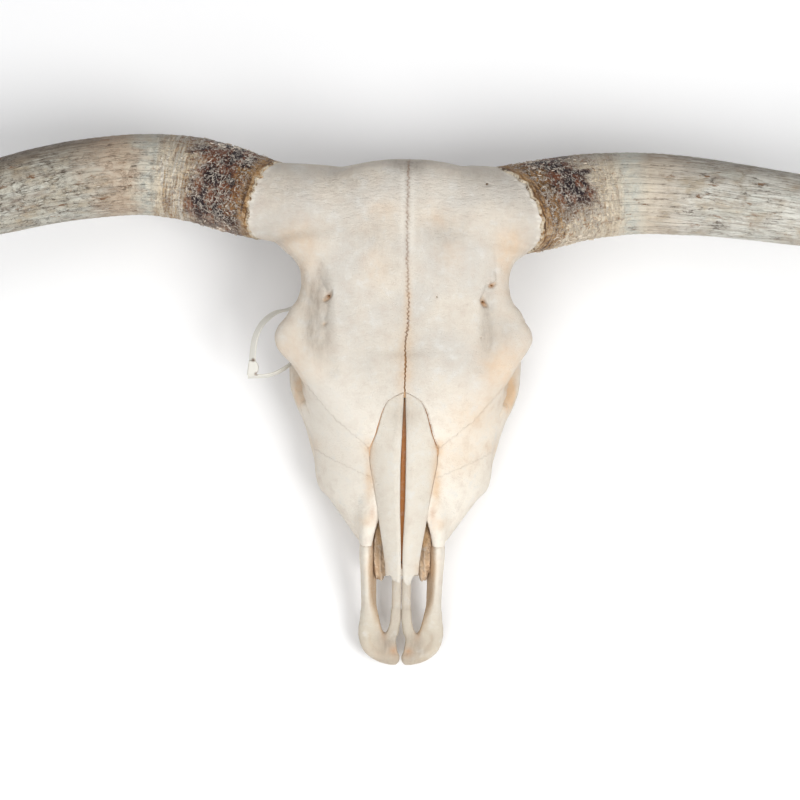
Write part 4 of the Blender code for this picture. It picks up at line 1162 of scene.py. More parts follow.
# %% Set the teeth
def tooth_row(side):
    y = TEETH_BACK_Y
    places, sizes, turns, molars = [], [], [], []
    for length, breadth in TEETH:
        middle = y - length / 2
        x = np.interp(-middle, [-row[0] for row in TEETH_LINE], [row[1] for row in TEETH_LINE])
        places.append((side * x, middle, FLOOR_AT_POLL + FLOOR_SLOPE * middle))
        sizes.append((breadth - 0.6, length - 0.8, 1))
        turns.append((-side * REST_TILT, 0, 0 if side > 0 else math.pi))
        molars.append(1.0 if length > 18 else 0.0)
        y -= length
    points = points_object("tooth_places", places, size=sizes, turn=turns, molar=molars)
    return grow(points, row_tree, "teeth", Molar=molar, Premolar=premolar, Enamel=enamel)


def joined(name, *objects):
    """One object from several, each keeping its own material."""
    bm = bmesh.new()
    materials = []
    for obj in objects:
        start = len(bm.faces)
        bm.from_mesh(obj.data)
        bm.faces.ensure_lookup_table()
        own = obj.data.materials
        for face in bm.faces[start:]:
            wanted = own[face.material_index] if own else None
            if wanted not in materials:
                materials.append(wanted)
            face.material_index = materials.index(wanted)
    mesh = bpy.data.meshes.new(name)
    bm.to_mesh(mesh)
    bm.free()
    for slot in materials:
        mesh.materials.append(slot)
    remove(*objects)
    return placed(name, mesh)


# %% [markdown]
# ## The horns
# A horn is a hollow sheath of keratin that grew over the bony core, a ring for each season. Its base is
# thin, ragged, amber and near black, crusted with pale flakes; further out it is grey-cream, with fine
# cracks along it. The sheath is a tube swept along the measured line by Geometry Nodes: the tree adds
# the rings and the rough bark, shears the first ring into the slanting joint, frays its edge, turns the
# wall inwards, and scatters loose flakes over the crust.

# %% Measures of the horns
# Distance across, y, z, radius of the sheath's middle line, from the joint outwards
HORN_LINE = {
    "right": (
        (141.2, -42.5, -45, 40.6), (182.8, -30.8, -46, 42.7), (224.4, -20.6, -46, 42.4),
        (269.1, -17.4, -45, 41.1), (327, -23.4, -40, 40.2), (366.6, -31.1, -35, 39.2),
        (414.3, -44, -26, 37.8), (483, -60, -4, 33.5), (562, -74, 34, 27.8), (632, -78, 80, 21.2),
        (691, -72, 130, 13.5), (726, -62, 170, 7.5), (738, -56, 186, 2.8),
    ),
    "left": (
        (100.5, -49.1, -45, 46.2), (132, -43, -46, 45.7), (161.5, -36.4, -46, 44.5),
        (190.9, -31.8, -46, 43.2), (233.6, -28.7, -45, 41.4), (278.2, -30.4, -41, 40.3),
        (336.1, -36.4, -35, 37.4), (398.1, -44.7, -27, 35.2), (483, -60, -4, 31.5),
        (562, -74, 34, 26.4), (632, -78, 80, 20.3), (691, -72, 130, 13.0), (726, -62, 170, 7.3),
        (738, -56, 186, 2.8),
    ),
}

# %% The sheath's tree
sheath_tree, sheath_in, sheath_out = new_tree(
    "horn_sheath", ("Rings", "Int"), ("Sides", "Int"), ("Facing", "Vector"),
    ("Shear fade", "Float"), ("Growth ring", "Float"), ("Ring depth", "Float"), ("Bark depth", "Float"),
    ("Fray", "Float"), ("Wall share", "Float"), ("Seed", "Float"), ("Flakes", "Float"),
    ("Flake", "Object"), ("Keratin", "Material"), ("Flake keratin", "Material"))
take, sheath = sheath_in.outputs, partial(add, sheath_tree)


def tube_field(title, kind="FLOAT"):
    return sheath("InputNamedAttribute", data_type=kind, Name=title)


chain = sheath("MeshToCurve", sheath_in)
chain = sheath("ResampleCurve", chain, (take["Rings"], "Count"))
chain = sheath("SetCurveNormal", chain, mode="Z_UP")
along_here = sheath("SplineParameter").outputs["Length"]
for title, kind, source in (("along", "FLOAT", along_here),
                            ("middle", "FLOAT_VECTOR", sheath("InputPosition")),
                            ("forward", "FLOAT_VECTOR", sheath("InputTangent"))):
    chain = sheath("StoreNamedAttribute", chain, (source, "Value"), data_type=kind, domain="POINT",
                   Name=title)
circle = sheath("CurvePrimitiveCircle", (take["Sides"], "Resolution"), Radius=1.0)
tube = sheath("CurveToMesh", (chain, "Curve"), (circle, "Profile Curve"), (tube_field("girth"), "Scale"),
              Fill_Caps=True)
along = tube_field("along")
middle, forward = (tube_field(title, "FLOAT_VECTOR") for title in ("middle", "forward"))
here = sheath("InputPosition")
spoke = sheath("VectorMath SUBTRACT", here, middle)
radial = sheath("VectorMath NORMALIZE", spoke)
# The tube as if it were straight: how far along, then the offset from its middle line
split = sheath("SeparateXYZ", spoke)
straight = sheath("CombineXYZ", along, split.outputs["Y"], split.outputs["Z"])
tube = sheath("StoreNamedAttribute", tube, (straight, "Value"), data_type="FLOAT_VECTOR", domain="POINT",
              Name="straight")
seeded = sheath("VectorMath ADD", tube_field("straight", "FLOAT_VECTOR"), take["Seed"])


def bark_noise(stretch, scale, detail):
    stretched = sheath("VectorMath MULTIPLY", seeded, stretch)
    rough = sheath("TexNoise", (stretched, 0), Scale=scale, Detail=detail)
    return sheath("Math SUBTRACT", rough, 0.5)


young = sheath("MapRange", along, 0.0, 230.0, 1.0, 0.12)
crust = sheath("MapRange", along, 70.0, 190.0, 1.0, 0.18)
slim = sheath("MapRange", tube_field("girth"), 2.0, 30.0)
phase = sheath("Math MULTIPLY_ADD", bark_noise((0.3, 1, 1), 0.03, 2), 30.0, along)
phase = sheath("Math DIVIDE", phase, take["Growth ring"])
phase = sheath("Math MULTIPLY", phase, 2 * math.pi)
ripple = sheath("Math SINE", phase)
ripple = sheath("Math MULTIPLY", ripple, take["Ring depth"])
ripple = sheath("Math MULTIPLY", ripple, young)
cross_bark = sheath("Math MULTIPLY", bark_noise((1, 0.35, 0.35), 0.30, 5), crust)
long_bark = sheath("Math MULTIPLY", bark_noise((0.10, 1, 1), 0.20, 4), 0.8)
bark = sheath("Math ADD", cross_bark, long_bark)
bark = sheath("Math MULTIPLY_ADD", bark, take["Bark depth"], ripple)
swell = sheath("Math MULTIPLY_ADD", bark_noise((0.4, 1, 1), 0.022, 2), 3.0, bark)
swell = sheath("Math MULTIPLY", swell, slim)
push = sheath("VectorMath SCALE", radial, (swell, "Scale"))
tube = sheath("SetPosition", tube, (push, "Offset"))
# The slanting joint: slide each ring's points along the horn, the first ring's into the joint's plane
gap = sheath("VectorMath SUBTRACT", middle, here)
rise = sheath("VectorMath DOT_PRODUCT", gap, take["Facing"])
lean = sheath("VectorMath DOT_PRODUCT", forward, take["Facing"])
slide = sheath("Math DIVIDE", rise.outputs["Value"], lean.outputs["Value"])
stay = sheath("MapRange", along, 0.0, take["Shear fade"], 1.0, 0.0)
slide = sheath("Math MULTIPLY", slide, stay)
edge_only = sheath("MapRange", along, 0.0, 7.0, 1.0, 0.0)
fray = sheath("Math MULTIPLY", bark_noise((0, 1, 1), 0.16, 6), take["Fray"])
slide = sheath("Math MULTIPLY_ADD", fray, edge_only, slide)
push = sheath("VectorMath SCALE", forward, (slide, "Scale"))
tube = sheath("SetPosition", tube, (push, "Offset"))
# The wall's edge, then the inside, which the core fills
at_joint = sheath("Compare LESS_THAN", along, 0.01)
lip = sheath("ExtrudeMesh", tube, (at_joint, "Selection"), Offset_Scale=0.0, mode="FACES", Individual=False)
lip_top = lip.outputs["Top"]
tube = sheath("ScaleElements", lip, (lip_top, "Selection"), (take["Wall share"], "Scale"), domain="FACE")
inward = sheath("VectorMath SCALE", forward, Scale=6.0)
deep = sheath("ExtrudeMesh", tube, (lip_top, "Selection"), (inward, "Offset"), Offset_Scale=1.0,
              mode="FACES", Individual=False)
# Loose flakes over the crust, thickest on the upper side
crusted = sheath("MapRange", along, 85.0, 45.0, 0.0, 1.0)
off_edge = sheath("MapRange", along, 12.0, 24.0)
clumps = sheath("MapRange", bark_noise((1, 1, 1), 0.05, 3), -0.12, 0.16)
density = sheath("Math MULTIPLY", crusted, off_edge)
density = sheath("Math MULTIPLY", density, clumps)
density = sheath("Math MULTIPLY", density, take["Flakes"])
scatter = sheath("DistributePointsOnFaces", (tube, "Mesh"), (density, "Density"), Seed=11)
spin = sheath("RandomValue", (-0.2, -0.2, -1.6), (0.2, 0.2, 1.6), data_type="FLOAT_VECTOR", Seed=3)
lay = sheath("AxesToRotation", scatter.outputs["Normal"], forward, primary_axis="Z", secondary_axis="X")
lay = sheath("RotateRotation", lay, spin, rotation_space="LOCAL")
sizes = sheath("RandomValue", (0.5, 0.4, 0.6), (1.2, 1.2, 1.4), data_type="FLOAT_VECTOR", Seed=4)
chip = sheath("ObjectInfo", (take["Flake"], "Object"))
chips = sheath("InstanceOnPoints", (scatter, "Points"), (chip.outputs["Geometry"], "Instance"),
               (lay, "Rotation"), (sizes, "Scale"))
chips = sheath("RealizeInstances", chips)
chips = sheath("SetMaterial", chips, (take["Flake keratin"], "Material"))
horn_skin = sheath("SetMaterial", deep, (take["Keratin"], "Material"))
whole_horn = sheath("JoinGeometry", (chips, 0), (horn_skin, 0))
sheath_tree.links.new(whole_horn.outputs[0], sheath_out.inputs[0])
print("sheath tree nodes:", len(sheath_tree.nodes))


# %% The flake that is scattered
def flake_object():
    """A thin, narrow, curled sliver, its near edge sunk in the bark, its far edge lifted. In mm."""
    rows = ((-0.5, -0.35), (0.0, 0.25), (0.5, 0.9))
    columns = (-2.6, -1.3, 0.0, 1.3, 2.6)
    points = [(x * (1 - abs(y) / 6) + 0.16 * y * y, y, z + lift) for lift in (0.0, -0.22)
              for x, z in rows for y in columns]
    quads = [(i * 5 + j, i * 5 + 5 + j, i * 5 + 6 + j, i * 5 + 1 + j) for i in range(2) for j in range(4)]
    faces = quads + [tuple(15 + i for i in reversed(quad)) for quad in quads]
    rim = [0, 5, 10, 11, 12, 13, 14, 9, 4, 3, 2, 1]
    faces += [(a, b, b + 15, a + 15) for a, b in zip(rim, rim[1:] + rim[:1])]
    return mesh_object("flake", points, faces)


# %% [markdown]
# ## Horn as a material
# Keratin is a translucent, slightly waxy fibre. Weathered, it bleaches to grey-cream and cracks along
# its length; at the base it is stained from amber to black-brown and peels in pale flakes. The tree
# left each point's place on the straightened horn as an attribute, so stains follow the distance from
# the joint, streaks run along the horn, and the growth rings run round it.

# %% The horn's material
def horn_material(name, seed, crust_reach, crust_side, amber_reach, bleached, smudged, ringed, flake=False):
    """crust_reach is where the stained crust ends; crust_side, the heights over which it thins out."""
    made, tree, shader = new_material(name, Roughness=0.55, Specular_IOR_Level=0.28, IOR=1.54)
    place = add(tree, "Attribute", attribute_name="straight").outputs["Vector"]
    out_along, side_up = add(tree, "SeparateXYZ", place).outputs[:2]
    ranged, times = partial(add, tree, "MapRange"), partial(product, tree)

    def stretched(stretch, shift):
        return add(tree, "Mapping", place, Scale=stretch, Location=(seed + shift, seed * 0.37, shift * 1.7))

    def noise(stretch, size, detail=4.0, roughness=0.6, shift=0.0):
        return add(tree, "TexNoise", stretched(stretch, shift), Scale=1 / size, Detail=detail,
                   Roughness=roughness)

    def cells(stretch, size, shift, bend):
        """Distance from the edges of cells of the given size, whose edges are bent by noise."""
        flat = stretched(stretch, shift)
        wobble = add(tree, "TexNoise", flat, Scale=1.6 / size, Detail=4.0).outputs["Color"]
        bent = add(tree, "VectorMath MULTIPLY_ADD", wobble, (bend, bend, bend), flat)
        return add(tree, "TexVoronoi", bent, feature="DISTANCE_TO_EDGE", Scale=1 / size)

    blotch = noise((1, 1, 1), 24, 5.0, 0.65)
    small = noise((0.8, 1, 1), 7, 5.0, 0.7, 61)
    streak = noise((0.055, 1, 1), 3.0, 5.0, 0.7, 4)
    fine_streak = noise((0.06, 1, 1), 1.1, 4.0, 0.7, 9)
    rings = noise((1, 0.09, 0.09), 3.4, 4.0, 0.7, 14)
    wide_rings = noise((1, 0.16, 0.16), 8, 4.0, 0.65, 17)
    fleck = noise((0.8, 0.4, 0.4), 2.2, 4.0, 0.75, 19)
    cracks, scales = cells((0.07, 1, 1), 7.5, 23, 5.0), cells((0.3, 1, 1), 3.4, 43, 4.0)
    wide_net, fine_net = cells((1, 0.7, 0.7), 4.6, 29, 5.5), cells((0.8, 1, 1), 2.8, 33, 3.6)
    # Distance from the joint, pushed about so that no stain ends in a straight line
    wander = add(tree, "Math ADD", ranged(blotch, 0.3, 0.7, -18, 18), out_along)
    wander = add(tree, "Math ADD", ranged(streak, 0.3, 0.7, -12, 12), wander)
    # The bleached outer part: grey-cream fibre, greenish and tan patches, grey-brown smudges
    coat = Coat(tree, bleached)
    coat.layer("AB997E", (blotch, 0.46, 0.64, 0, 0.75))
    coat.layer("CDCEC4", (noise((0.3, 1, 1), 15, 4, 0.6, 31), 0.50, 0.64, 0, 0.8))
    coat.layer("7B6D60", (noise((0.22, 1, 1), 13, 5, 0.7, 37), 0.50, 0.62),
               (streak, 0.36, 0.56, 0.1, smudged))
    coat.layer("A0968A", (streak, 0.48, 0.60, 0, 0.5))
    coat.layer("84796B", (fine_streak, 0.52, 0.64, 0, 0.45))
    # Thin scales that lift: their pale faces, and dark edges round them
    lifted = times((small, 0.48, 0.6), (streak, 0.4, 0.55, smudged - 0.3, smudged))
    coat.layer("DCD9CE", (scales, 0.08, 0.2), lifted, (blotch, 0.4, 0.55, 0.1, 0.55))
    coat.layer("5F5142", (scales, 0.09, 0.03), lifted, (blotch, 0.62, 0.47, 0.4, 1.0))
    # The upper side is darker and browner: partly weathering, partly painted shade on the side turned from
    # the light
    coat.layer("7A6B5A", (side_up, 4, 34), (streak, 0.28, 0.52, 0.35, smudged),
               (small, 0.25, 0.6, 0.6, 1.0))
    coat.layer("5E5246", (side_up, 24, 40), (fine_streak, 0.42, 0.58))
    # Cream rings between the crust and the bleached part
    coat.layer("DECFB5", (wander, 175, 115), (side_up, 40, 22, 0.25, 1.0), (small, 0.25, 0.6, 0.6, 0.95))
    coat.layer("B0956F", (out_along, 135, 105), (wide_rings, 0.50, 0.58, 0, 0.8 * ringed))
    coat.layer("D9D2C4", (out_along, 135, 110), (rings, 0.47, 0.41, 0, 0.9 * ringed))
    coat.layer("8A6645", (out_along, 130, 100), (rings, 0.53, 0.58),
               (small, 0.36, 0.56, 0.15, 0.85 * ringed))
    coat.layer("C0C4BC", (out_along, 108, 120), (out_along, 146, 132), (wander, 80, 120),
               (small, 0.35, 0.6, 0.3, 0.85))
    coat.layer("BCA48D", (wander, 122, 146), (wander, 200, 165), (small, 0.3, 0.55, 0.2, 0.75 * ringed))
    # Dark hair cracks along the horn, in clumps, and rusty scabs
    coat.layer("574A3D", (cracks, 0.05, 0.012), (small, 0.50, 0.62, 0, 0.8), (out_along, 60, 130, 0.3, 1))
    coat.layer("806045", (noise((0.4, 1, 1), 9, 5, 0.7, 41), 0.60, 0.66), (streak, 0.4, 0.55))
    # The stained crust: chestnut, near black where it is thickest
    stain = times((wander, crust_reach + 14, crust_reach - 8), (out_along, 5, 16), (side_up, *crust_side))
    coat.layer("86572F", (wander, crust_reach + 66, crust_reach), (fleck, 0.54, 0.60, 0, 0.85))
    coat.layer("6B3A20", stain, (small, 0.30, 0.48, 0.7, 1.0))
    coat.layer("24161A", stain, (noise((0.8, 0.6, 0.6), 13, 6, 0.75, 53), 0.44, 0.52))
    # Amber by the joint with brown rings in it
    amber = times((wander, amber_reach, amber_reach - 16), (small, 0.3, 0.55, 0.45, 1.0))
    coat.layer("A98250", amber)
    coat.layer("6B4626", amber, (small, 0.46, 0.60, 0, 0.85))
    coat.layer("4A2F1A", (wander, amber_reach, amber_reach - 16), (rings, 0.50, 0.56, 0, 0.9))
    coat.layer("DACDB6", (out_along, 3, 1), (fleck, 0.42, 0.55))
    # Pale edges of the flakes that peel off the crust
    peel = add(tree, "Math MAXIMUM",
               times((wide_net, 0.09, 0.03), (noise((1, 1, 1), 4, 3.0, 0.7, 77), 0.47, 0.54)),
               times((fine_net, 0.12, 0.04), (small, 0.50, 0.56)))
    peel = times(peel, (wander, crust_reach + 66, crust_reach + 10), (out_along, 4, 16),
                 (side_up, -45, -25, 0.4, 1))
    coat.layer("D6CBBE", peel)
    if flake:
        coat.layer("D3C8B9", (noise((1, 1, 1), 1.6, 2, 0.6, 83), 0.3, 0.6, 0.35, 0.95))
    crusty = ranged(wander, 160, 70)
    relief = add(tree, "Math ADD", peel, ranged(cracks, 0.0, 0.05, 0.0, 0.6))
    for source, share in ((fine_streak, -1.1), (rings, times(crusty, crusty)), (fleck, crusty)):
        relief = add(tree, "Math MULTIPLY_ADD", source, share, relief)
    relief = add(tree, "Math ADD", times((scales, 0.02, 0.12), lifted), relief)
    coat.dress(shader, relief, 1.0, 0.0009)
    return made


# %% Make both horns
RING_STEP = 1.9                # mm between rings of the mesh
CRUST = {                      # what horn_material takes after the seed
    "right": (68.0, (-62.0, -26.0), 20.0, "BFBBAD", 1.0, 1.0),
    # The left horn's paler outer colour is partly painted light: that horn lies nearer the key light.
    "left": (68.0, (-26.0, -2.0), 34.0, "D8D6CC", 0.45, 0.4),
}
flake = flake_object()
horns = {}
for which, side in SIDES:
    rows, length = even_rows(np.array(HORN_LINE[which], float), PATH_POINTS)
    rows[:, 0] *= side
    path = points_object("horn_path", rows[:, :3], chained=True, girth=rows[:, 3])
    facing = HORN_JOINT[which][1]
    seed = 31.0 if side < 0 else 113.0
    horns[which] = grow(
        path, sheath_tree, f"horn_{which}", Rings=round(length / RING_STEP), Sides=120,
        Facing=(facing[0] * side, facing[1], facing[2]),
        Shear_fade=120.0, Growth_ring=8.5, Ring_depth=0.35, Bark_depth=1.5, Fray=14.0, Wall_share=0.95,
        Seed=seed, Flakes=0.05, Flake=flake,
        Keratin=horn_material(f"weathered_horn_keratin_{which}", seed, *CRUST[which]),
        Flake_keratin=horn_material(f"peeling_keratin_flakes_{which}", seed, *CRUST[which], flake=True))
    print("horn", which, "quads", len(horns[which].data.polygons))
remove(flake)

# %% [markdown]
# ## The cable tie
# A natural nylon tie is looped round the bar behind the right eye socket. Its band is a rounded flat
# section swept along the model's line, turned as each row says, with the ratchet's fine ribs set along
# its inner face by Geometry Nodes. The lock is a small moulded block with a slot through it.

# %% Measures of the tie
# (x, y, z) and the way the band's outer face looks, from inside the lock round to the slot
TIE_LINE = (
    ((-159.6, -220.8, -49.0), (0, -0.9, 0.4)), ((-148, -220.4, -49.6), (0, -0.9, 0.4)),
    ((-139, -219.4, -51), (0, -0.9, 0.45)), ((-128, -215.2, -55), (0.2, -0.85, 0.45)),
    ((-117, -207.5, -58.5), (0.45, -0.8, 0.3)), ((-106, -196, -60), (0.75, -0.65, 0)),
    ((-98.5, -182, -60), (0.97, -0.25, 0)), ((-96, -166, -60), (1, 0, 0)),
    ((-98, -152, -60), (0.9, 0.4, 0)), ((-107, -147.0, -59), (0.3, 0.95, 0)),
    ((-115, -149.2, -58), (-0.3, 0.9, 0.15)), ((-121.5, -152.2, -55.5), (-0.35, 0.85, 0.35)),
    ((-130.5, -154.6, -50.5), (-0.35, 0.75, 0.5)),
    ((-141, -162, -44), (-0.5, 0.5, 0.7)), ((-149, -173, -41), (-0.6, 0.3, 0.75)),
    ((-153.5, -187, -42), (-0.6, 0.1, 0.8)), ((-154.8, -202.4, -47), (-0.5, 0, 0.86)),
    ((-154.7, -206.5, -48.2), (-0.4, 0, 0.9)),
)
TIE_WIDTH, TIE_THICKNESS, TIE_CORNER = 7.6, 1.6, 0.5
RIB_STEP = 1.3
RIB_SIZE = (0.6, 4.6, 0.5)      # along the band, across it, and out of its face
RIBBED = (22.0, 150.0)          # the ribs begin and end that far along the band
TIE_HEAD_PLAN = (
    (-158.8, -204.8), (-151.8, -204.8), (-149.6, -207.5), (-148.6, -211.5), (-149.2, -215.8),
    (-151.8, -219.2), (-160.4, -219.6),
)
TIE_HEAD_LEVELS = (-44.7, -53.3)
TIE_SLOT = ((-154.7, -199, -47.2, 4.3, 1.3), (-154.7, -226, -50.4, 4.3, 1.3))
TIE_PAWL = ((-154.7, -212.8, -46.6, 2.2, 0.7), (-154.7, -215.0, -47.6, 2.2, 0.6))

# %% Moulded nylon
nylon, nylon_tree, nylon_shader = new_material("moulded_natural_nylon", IOR=1.53)
nylon_place = add(nylon_tree, "TexCoord").outputs["Object"]
coat = Coat(nylon_tree, "D8D5CC")
for spot in ((-154.2, -204.2, -46), (-150.8, -218.4, -44.7)):      # painted brown shade at the lock's two corners, where the band meets it
    reach = add(nylon_tree, "VectorMath DISTANCE", nylon_place, TO_WORLD @ Vector(spot)).outputs["Value"]
    coat.layer("6E5138", (reach, 0.003, 0.0008, 0.0, 0.85))
nylon_tree.links.new(coat.top, nylon_shader.inputs["Base Color"])
nylon_haze = add(nylon_tree, "TexNoise", (nylon_place, 0), Scale=260.0, Detail=3.0)
nylon_rough = add(nylon_tree, "MapRange", nylon_haze, 0.3, 0.7, 0.34, 0.5)
nylon_tree.links.new(nylon_rough.outputs[0], nylon_shader.inputs["Roughness"])

# %% The band's tree
band_tree, band_in, band_out = new_tree(
    "ribbed_band", ("Stations", "Int"), ("Width", "Float"), ("Thickness", "Float"), ("Corner", "Float"),
    ("Rib step", "Float"), ("Rib size", "Vector"), ("Ribs from", "Float"), ("Ribs to", "Float"),
    ("Nylon", "Material"))
ribbon, given = partial(add, band_tree), band_in.outputs
facing_way = ribbon("InputNamedAttribute", data_type="FLOAT_VECTOR", Name="facing")
route = ribbon("MeshToCurve", band_in)
route = ribbon("ResampleCurve", route, (given["Stations"], "Count"))
route = ribbon("SetCurveNormal", route, (facing_way, "Normal"), mode="FREE")
section = ribbon("CurvePrimitiveQuadrilateral", (given["Thickness"], "Width"), (given["Width"], "Height"))
section = ribbon("FilletCurve", section, (given["Corner"], "Radius"), mode="POLY", Count=3)
band = ribbon("CurveToMesh", (route, "Curve"), (section, "Profile Curve"), Fill_Caps=True)
marks = ribbon("CurveToPoints", route, (given["Rib step"], "Length"), mode="LENGTH")
reached = ribbon("SplineParameter").outputs["Length"]
route_marked = ribbon("StoreNamedAttribute", route, (reached, "Value"), data_type="FLOAT", domain="POINT",
                      Name="reached")
band_tree.links.new(route_marked.outputs[0], marks.inputs[0])
length_here = ribbon("InputNamedAttribute", data_type="FLOAT", Name="reached")
after = ribbon("Compare GREATER_THAN", length_here, given["Ribs from"])
before = ribbon("Compare LESS_THAN", length_here, given["Ribs to"])
ribbed = ribbon("BooleanMath AND", after, before)
rib = ribbon("MeshCube", (given["Rib size"], "Size"))
rib_turn = ribbon("AxesToRotation", facing_way, marks.outputs["Tangent"], primary_axis="Z",
                  secondary_axis="X")
ribs = ribbon("InstanceOnPoints", (marks, "Points"), (ribbed, "Selection"), (rib, "Instance"),
              (rib_turn, "Rotation"))
face_depth = ribbon("Math MULTIPLY", given["Thickness"], -0.5)
to_face = ribbon("CombineXYZ", (face_depth, 2))
ribs = ribbon("TranslateInstances", ribs, (to_face, "Translation"))
ribs = ribbon("RealizeInstances", ribs)
band = ribbon("JoinGeometry", (band, 0), (ribs, 0))
band = ribbon("SetMaterial", band, (given["Nylon"], "Material"))
band_tree.links.new(band.outputs[0], band_out.inputs[0])

# %% Make the tie
tie_rows = even_rows(np.array([place + facing for place, facing in TIE_LINE], float),
                     PATH_POINTS)[0]
tie_forward = np.gradient(tie_rows[:, :3], axis=0)
tie_forward /= np.linalg.norm(tie_forward, axis=1)[:, None]
tie_face = tie_rows[:, 3:] - tie_forward * (tie_rows[:, 3:] * tie_forward).sum(axis=1)[:, None]
tie_face /= np.linalg.norm(tie_face, axis=1)[:, None]
tie_path = points_object("tie_path", tie_rows[:, :3], chained=True, facing=tie_face)
tie_strap = grow(tie_path, band_tree, "cable_tie_strap", Stations=180, Width=TIE_WIDTH,
                 Thickness=TIE_THICKNESS, Corner=TIE_CORNER, Rib_step=RIB_STEP, Rib_size=RIB_SIZE,
                 Ribs_from=RIBBED[0], Ribs_to=RIBBED[1], Nylon=nylon)
head_field = Field((-164, -224, -58), (-143, -199, -40), 0.35)
head_field.join(slab(TIE_HEAD_PLAN, *TIE_HEAD_LEVELS, rim=1.6), 1)
head_field.carve(bar(TIE_SLOT, samples=4), 0.4)
head_field.join(bar(TIE_PAWL, samples=4), 0.5)
tie_head = quads_object("cable_tie_head", *head_field.mesh(1))
tie_head.data.materials.append(nylon)
print("tie quads:", len(tie_strap.data.polygons), len(tie_head.data.polygons))

# %% [markdown]
# ## Painting the bone by rule
# Each vertex gets eight numbers. Three are measured: how hollow or how sharp the place is (the share of
# bone in a small ball round it, read from a blurred copy of the field), and how near the next bone is (the
# suture). The others are soft spots and zones laid down where the photo shows them.

# %% Soft spots: (x, y, radius x, radius y, strength)
# Grey spots. Those along the poll's edge (y 0 to -18) and in the crown's soft hollows (y -72 to -92) are
# painted shade, those in the brow's grooves are stain and painted shade, and the rest are grey stains.
GREY_STAIN_AND_SHADE_SPOTS = (
    (-14, -490, 11, 12, 0.65), (14, -490, 11, 12, 0.65), (0, -508, 34, 5, 0.45), (-5, -462, 5, 22, 0.25),
    (5, -462, 5, 22, 0.25),
    (-91, -138, 11, 20, 0.6), (-89, -170, 14, 26, 0.4), (-84, -196, 10, 16, 0.25), (82, -156, 6, 20, 0.45),
    (82, -180, 9, 20, 0.35), (0, 0, 44, 4, 0.9), (1, -8, 14, 9, 0.7), (0, -70, 9, 60, 0.1),
    (1, -190, 14, 40, 0.15), (-34, -78, 22, 18, 0.25), (40, -72, 26, 14, 0.2), (34, -92, 14, 20, 0.12),
    (-130, -40, 26, 50, 0.22), (110, -45, 30, 55, 0.2), (-60, -18, 40, 12, 0.35), (55, -16, 34, 12, 0.35),
    (0, -258, 18, 14, 0.3), (-96, -176, 6, 22, 0.3), (100, -172, 8, 14, 0.25),
)
# Peach spots: greasy or thin bone; the two in the pockets under the eyes (y -236) are painted shade.
PEACH_STAIN_AND_POCKET_SHADE_SPOTS = ((-25, -412, 9, 12, 1.0), (25, -412, 9, 12, 1.0), (-107, -236, 6, 17, 1.6),
               (107, -236, 6, 17, 1.6), (-122, -196, 16, 36, 0.25), (120, -194, 16, 36, 0.25),
               (-102, -108, 12, 34, 0.35), (100, -108, 12, 34, 0.4), (-116, -80, 18, 14, 0.4),
               (104, -84, 18, 16, 0.5), (2, -150, 4, 34, 0.6), (0, -212, 8, 36, 0.6),
               (-95, -215, 18, 22, 0.2), (92, -208, 20, 26, 0.6), (-70, -262, 26, 20, 0.1),
               (72, -258, 28, 20, 0.5), (-60, -300, 24, 20, 0.15), (58, -300, 22, 20, 0.4),
               (-34, -322, 5, 20, 1.0), (33, -326, 5, 22, 1.0), (-36, -290, 6, 8, 0.8),
               (35, -290, 6, 8, 0.8), (-92, -288, 10, 8, 0.5), (92, -290, 10, 8, 0.55),
               (30, -60, 14, 12, 0.3), (-26, -52, 16, 12, 0.3), (44, -100, 12, 16, 0.3),
               (-30, -110, 12, 20, 0.25), (-36, -364, 10, 6, 0.5), (36, -366, 10, 6, 0.5),
               (0, -500, 34, 14, 0.35),)
# Pale spots: chalky bleaching; the three on the face's right side, from x -96 to -56 and y -224 to -312,
# are painted light on the side turned from the key light.
PALE_CHALK_AND_PAINTED_LIGHT_SPOTS = ((-5, -60, 3, 50, 0.9), (5, -60, 3, 50, 0.9), (-20, -40, 16, 14, 0.3), (38, -30, 24, 12, 0.4),
              (96, -60, 10, 30, 0.3), (-70, -150, 5, 20, 0.35), (-60, -200, 12, 24, 0.2),
              (50, -200, 14, 20, 0.2), (-76, -258, 32, 32, 1.6), (-56, -312, 24, 30, 0.8),
              (-96, -224, 12, 20, 0.4))
# Brown spots: stains at the incisive tips and at the slit's end; the three in the brow's nerve holes are
# painted shadow.
BROWN_STAIN_AND_PIT_SHADE_SPOTS = ((-7, -497, 4, 4, 0.8), (8, -498, 4, 4, 0.8), (-17, -482, 4, 6, 0.4), (17, -482, 4, 6, 0.4),
               (-30, -356, 3, 8, 0.6), (30, -356, 3, 8, 0.6), (-77.5, -139.5, 2.6, 3, 0.8),
               (77, -143.5, 2.6, 3, 0.8), (85.5, -125.5, 2.2, 2.4, 0.7))


def spots(points, table):
    total = np.zeros(len(points))
    for x, y, radius_x, radius_y, strength in table:
        total += strength * np.exp(-((points[:, 0] - x) / radius_x) ** 2
                                   - ((points[:, 1] - y) / radius_y) ** 2)
    return total


def averaged(values, reach):
    """Each point's mean over a small cube, twice, which is close to a ball."""
    for axis in (0, 1, 2, 0, 1, 2):
        pads = [(reach + 1, reach) if i == axis else (0, 0) for i in range(3)]
        total = np.moveaxis(np.cumsum(np.pad(values, pads, mode="edge"), axis=axis), axis, 0)
        values = np.moveaxis((total[2 * reach + 1:] - total[:-2 * reach - 1]) / (2 * reach + 1), 0, axis)
    return values


def fullness(field):
    """The share of bone near each grid point, within about 3 mm and within about 8 mm."""
    solid = np.clip(0.5 - field.values / field.grain, 0, 1)
    return [averaged(solid, max(1, round(size / field.grain))) for size in (1.6, 4.5)]


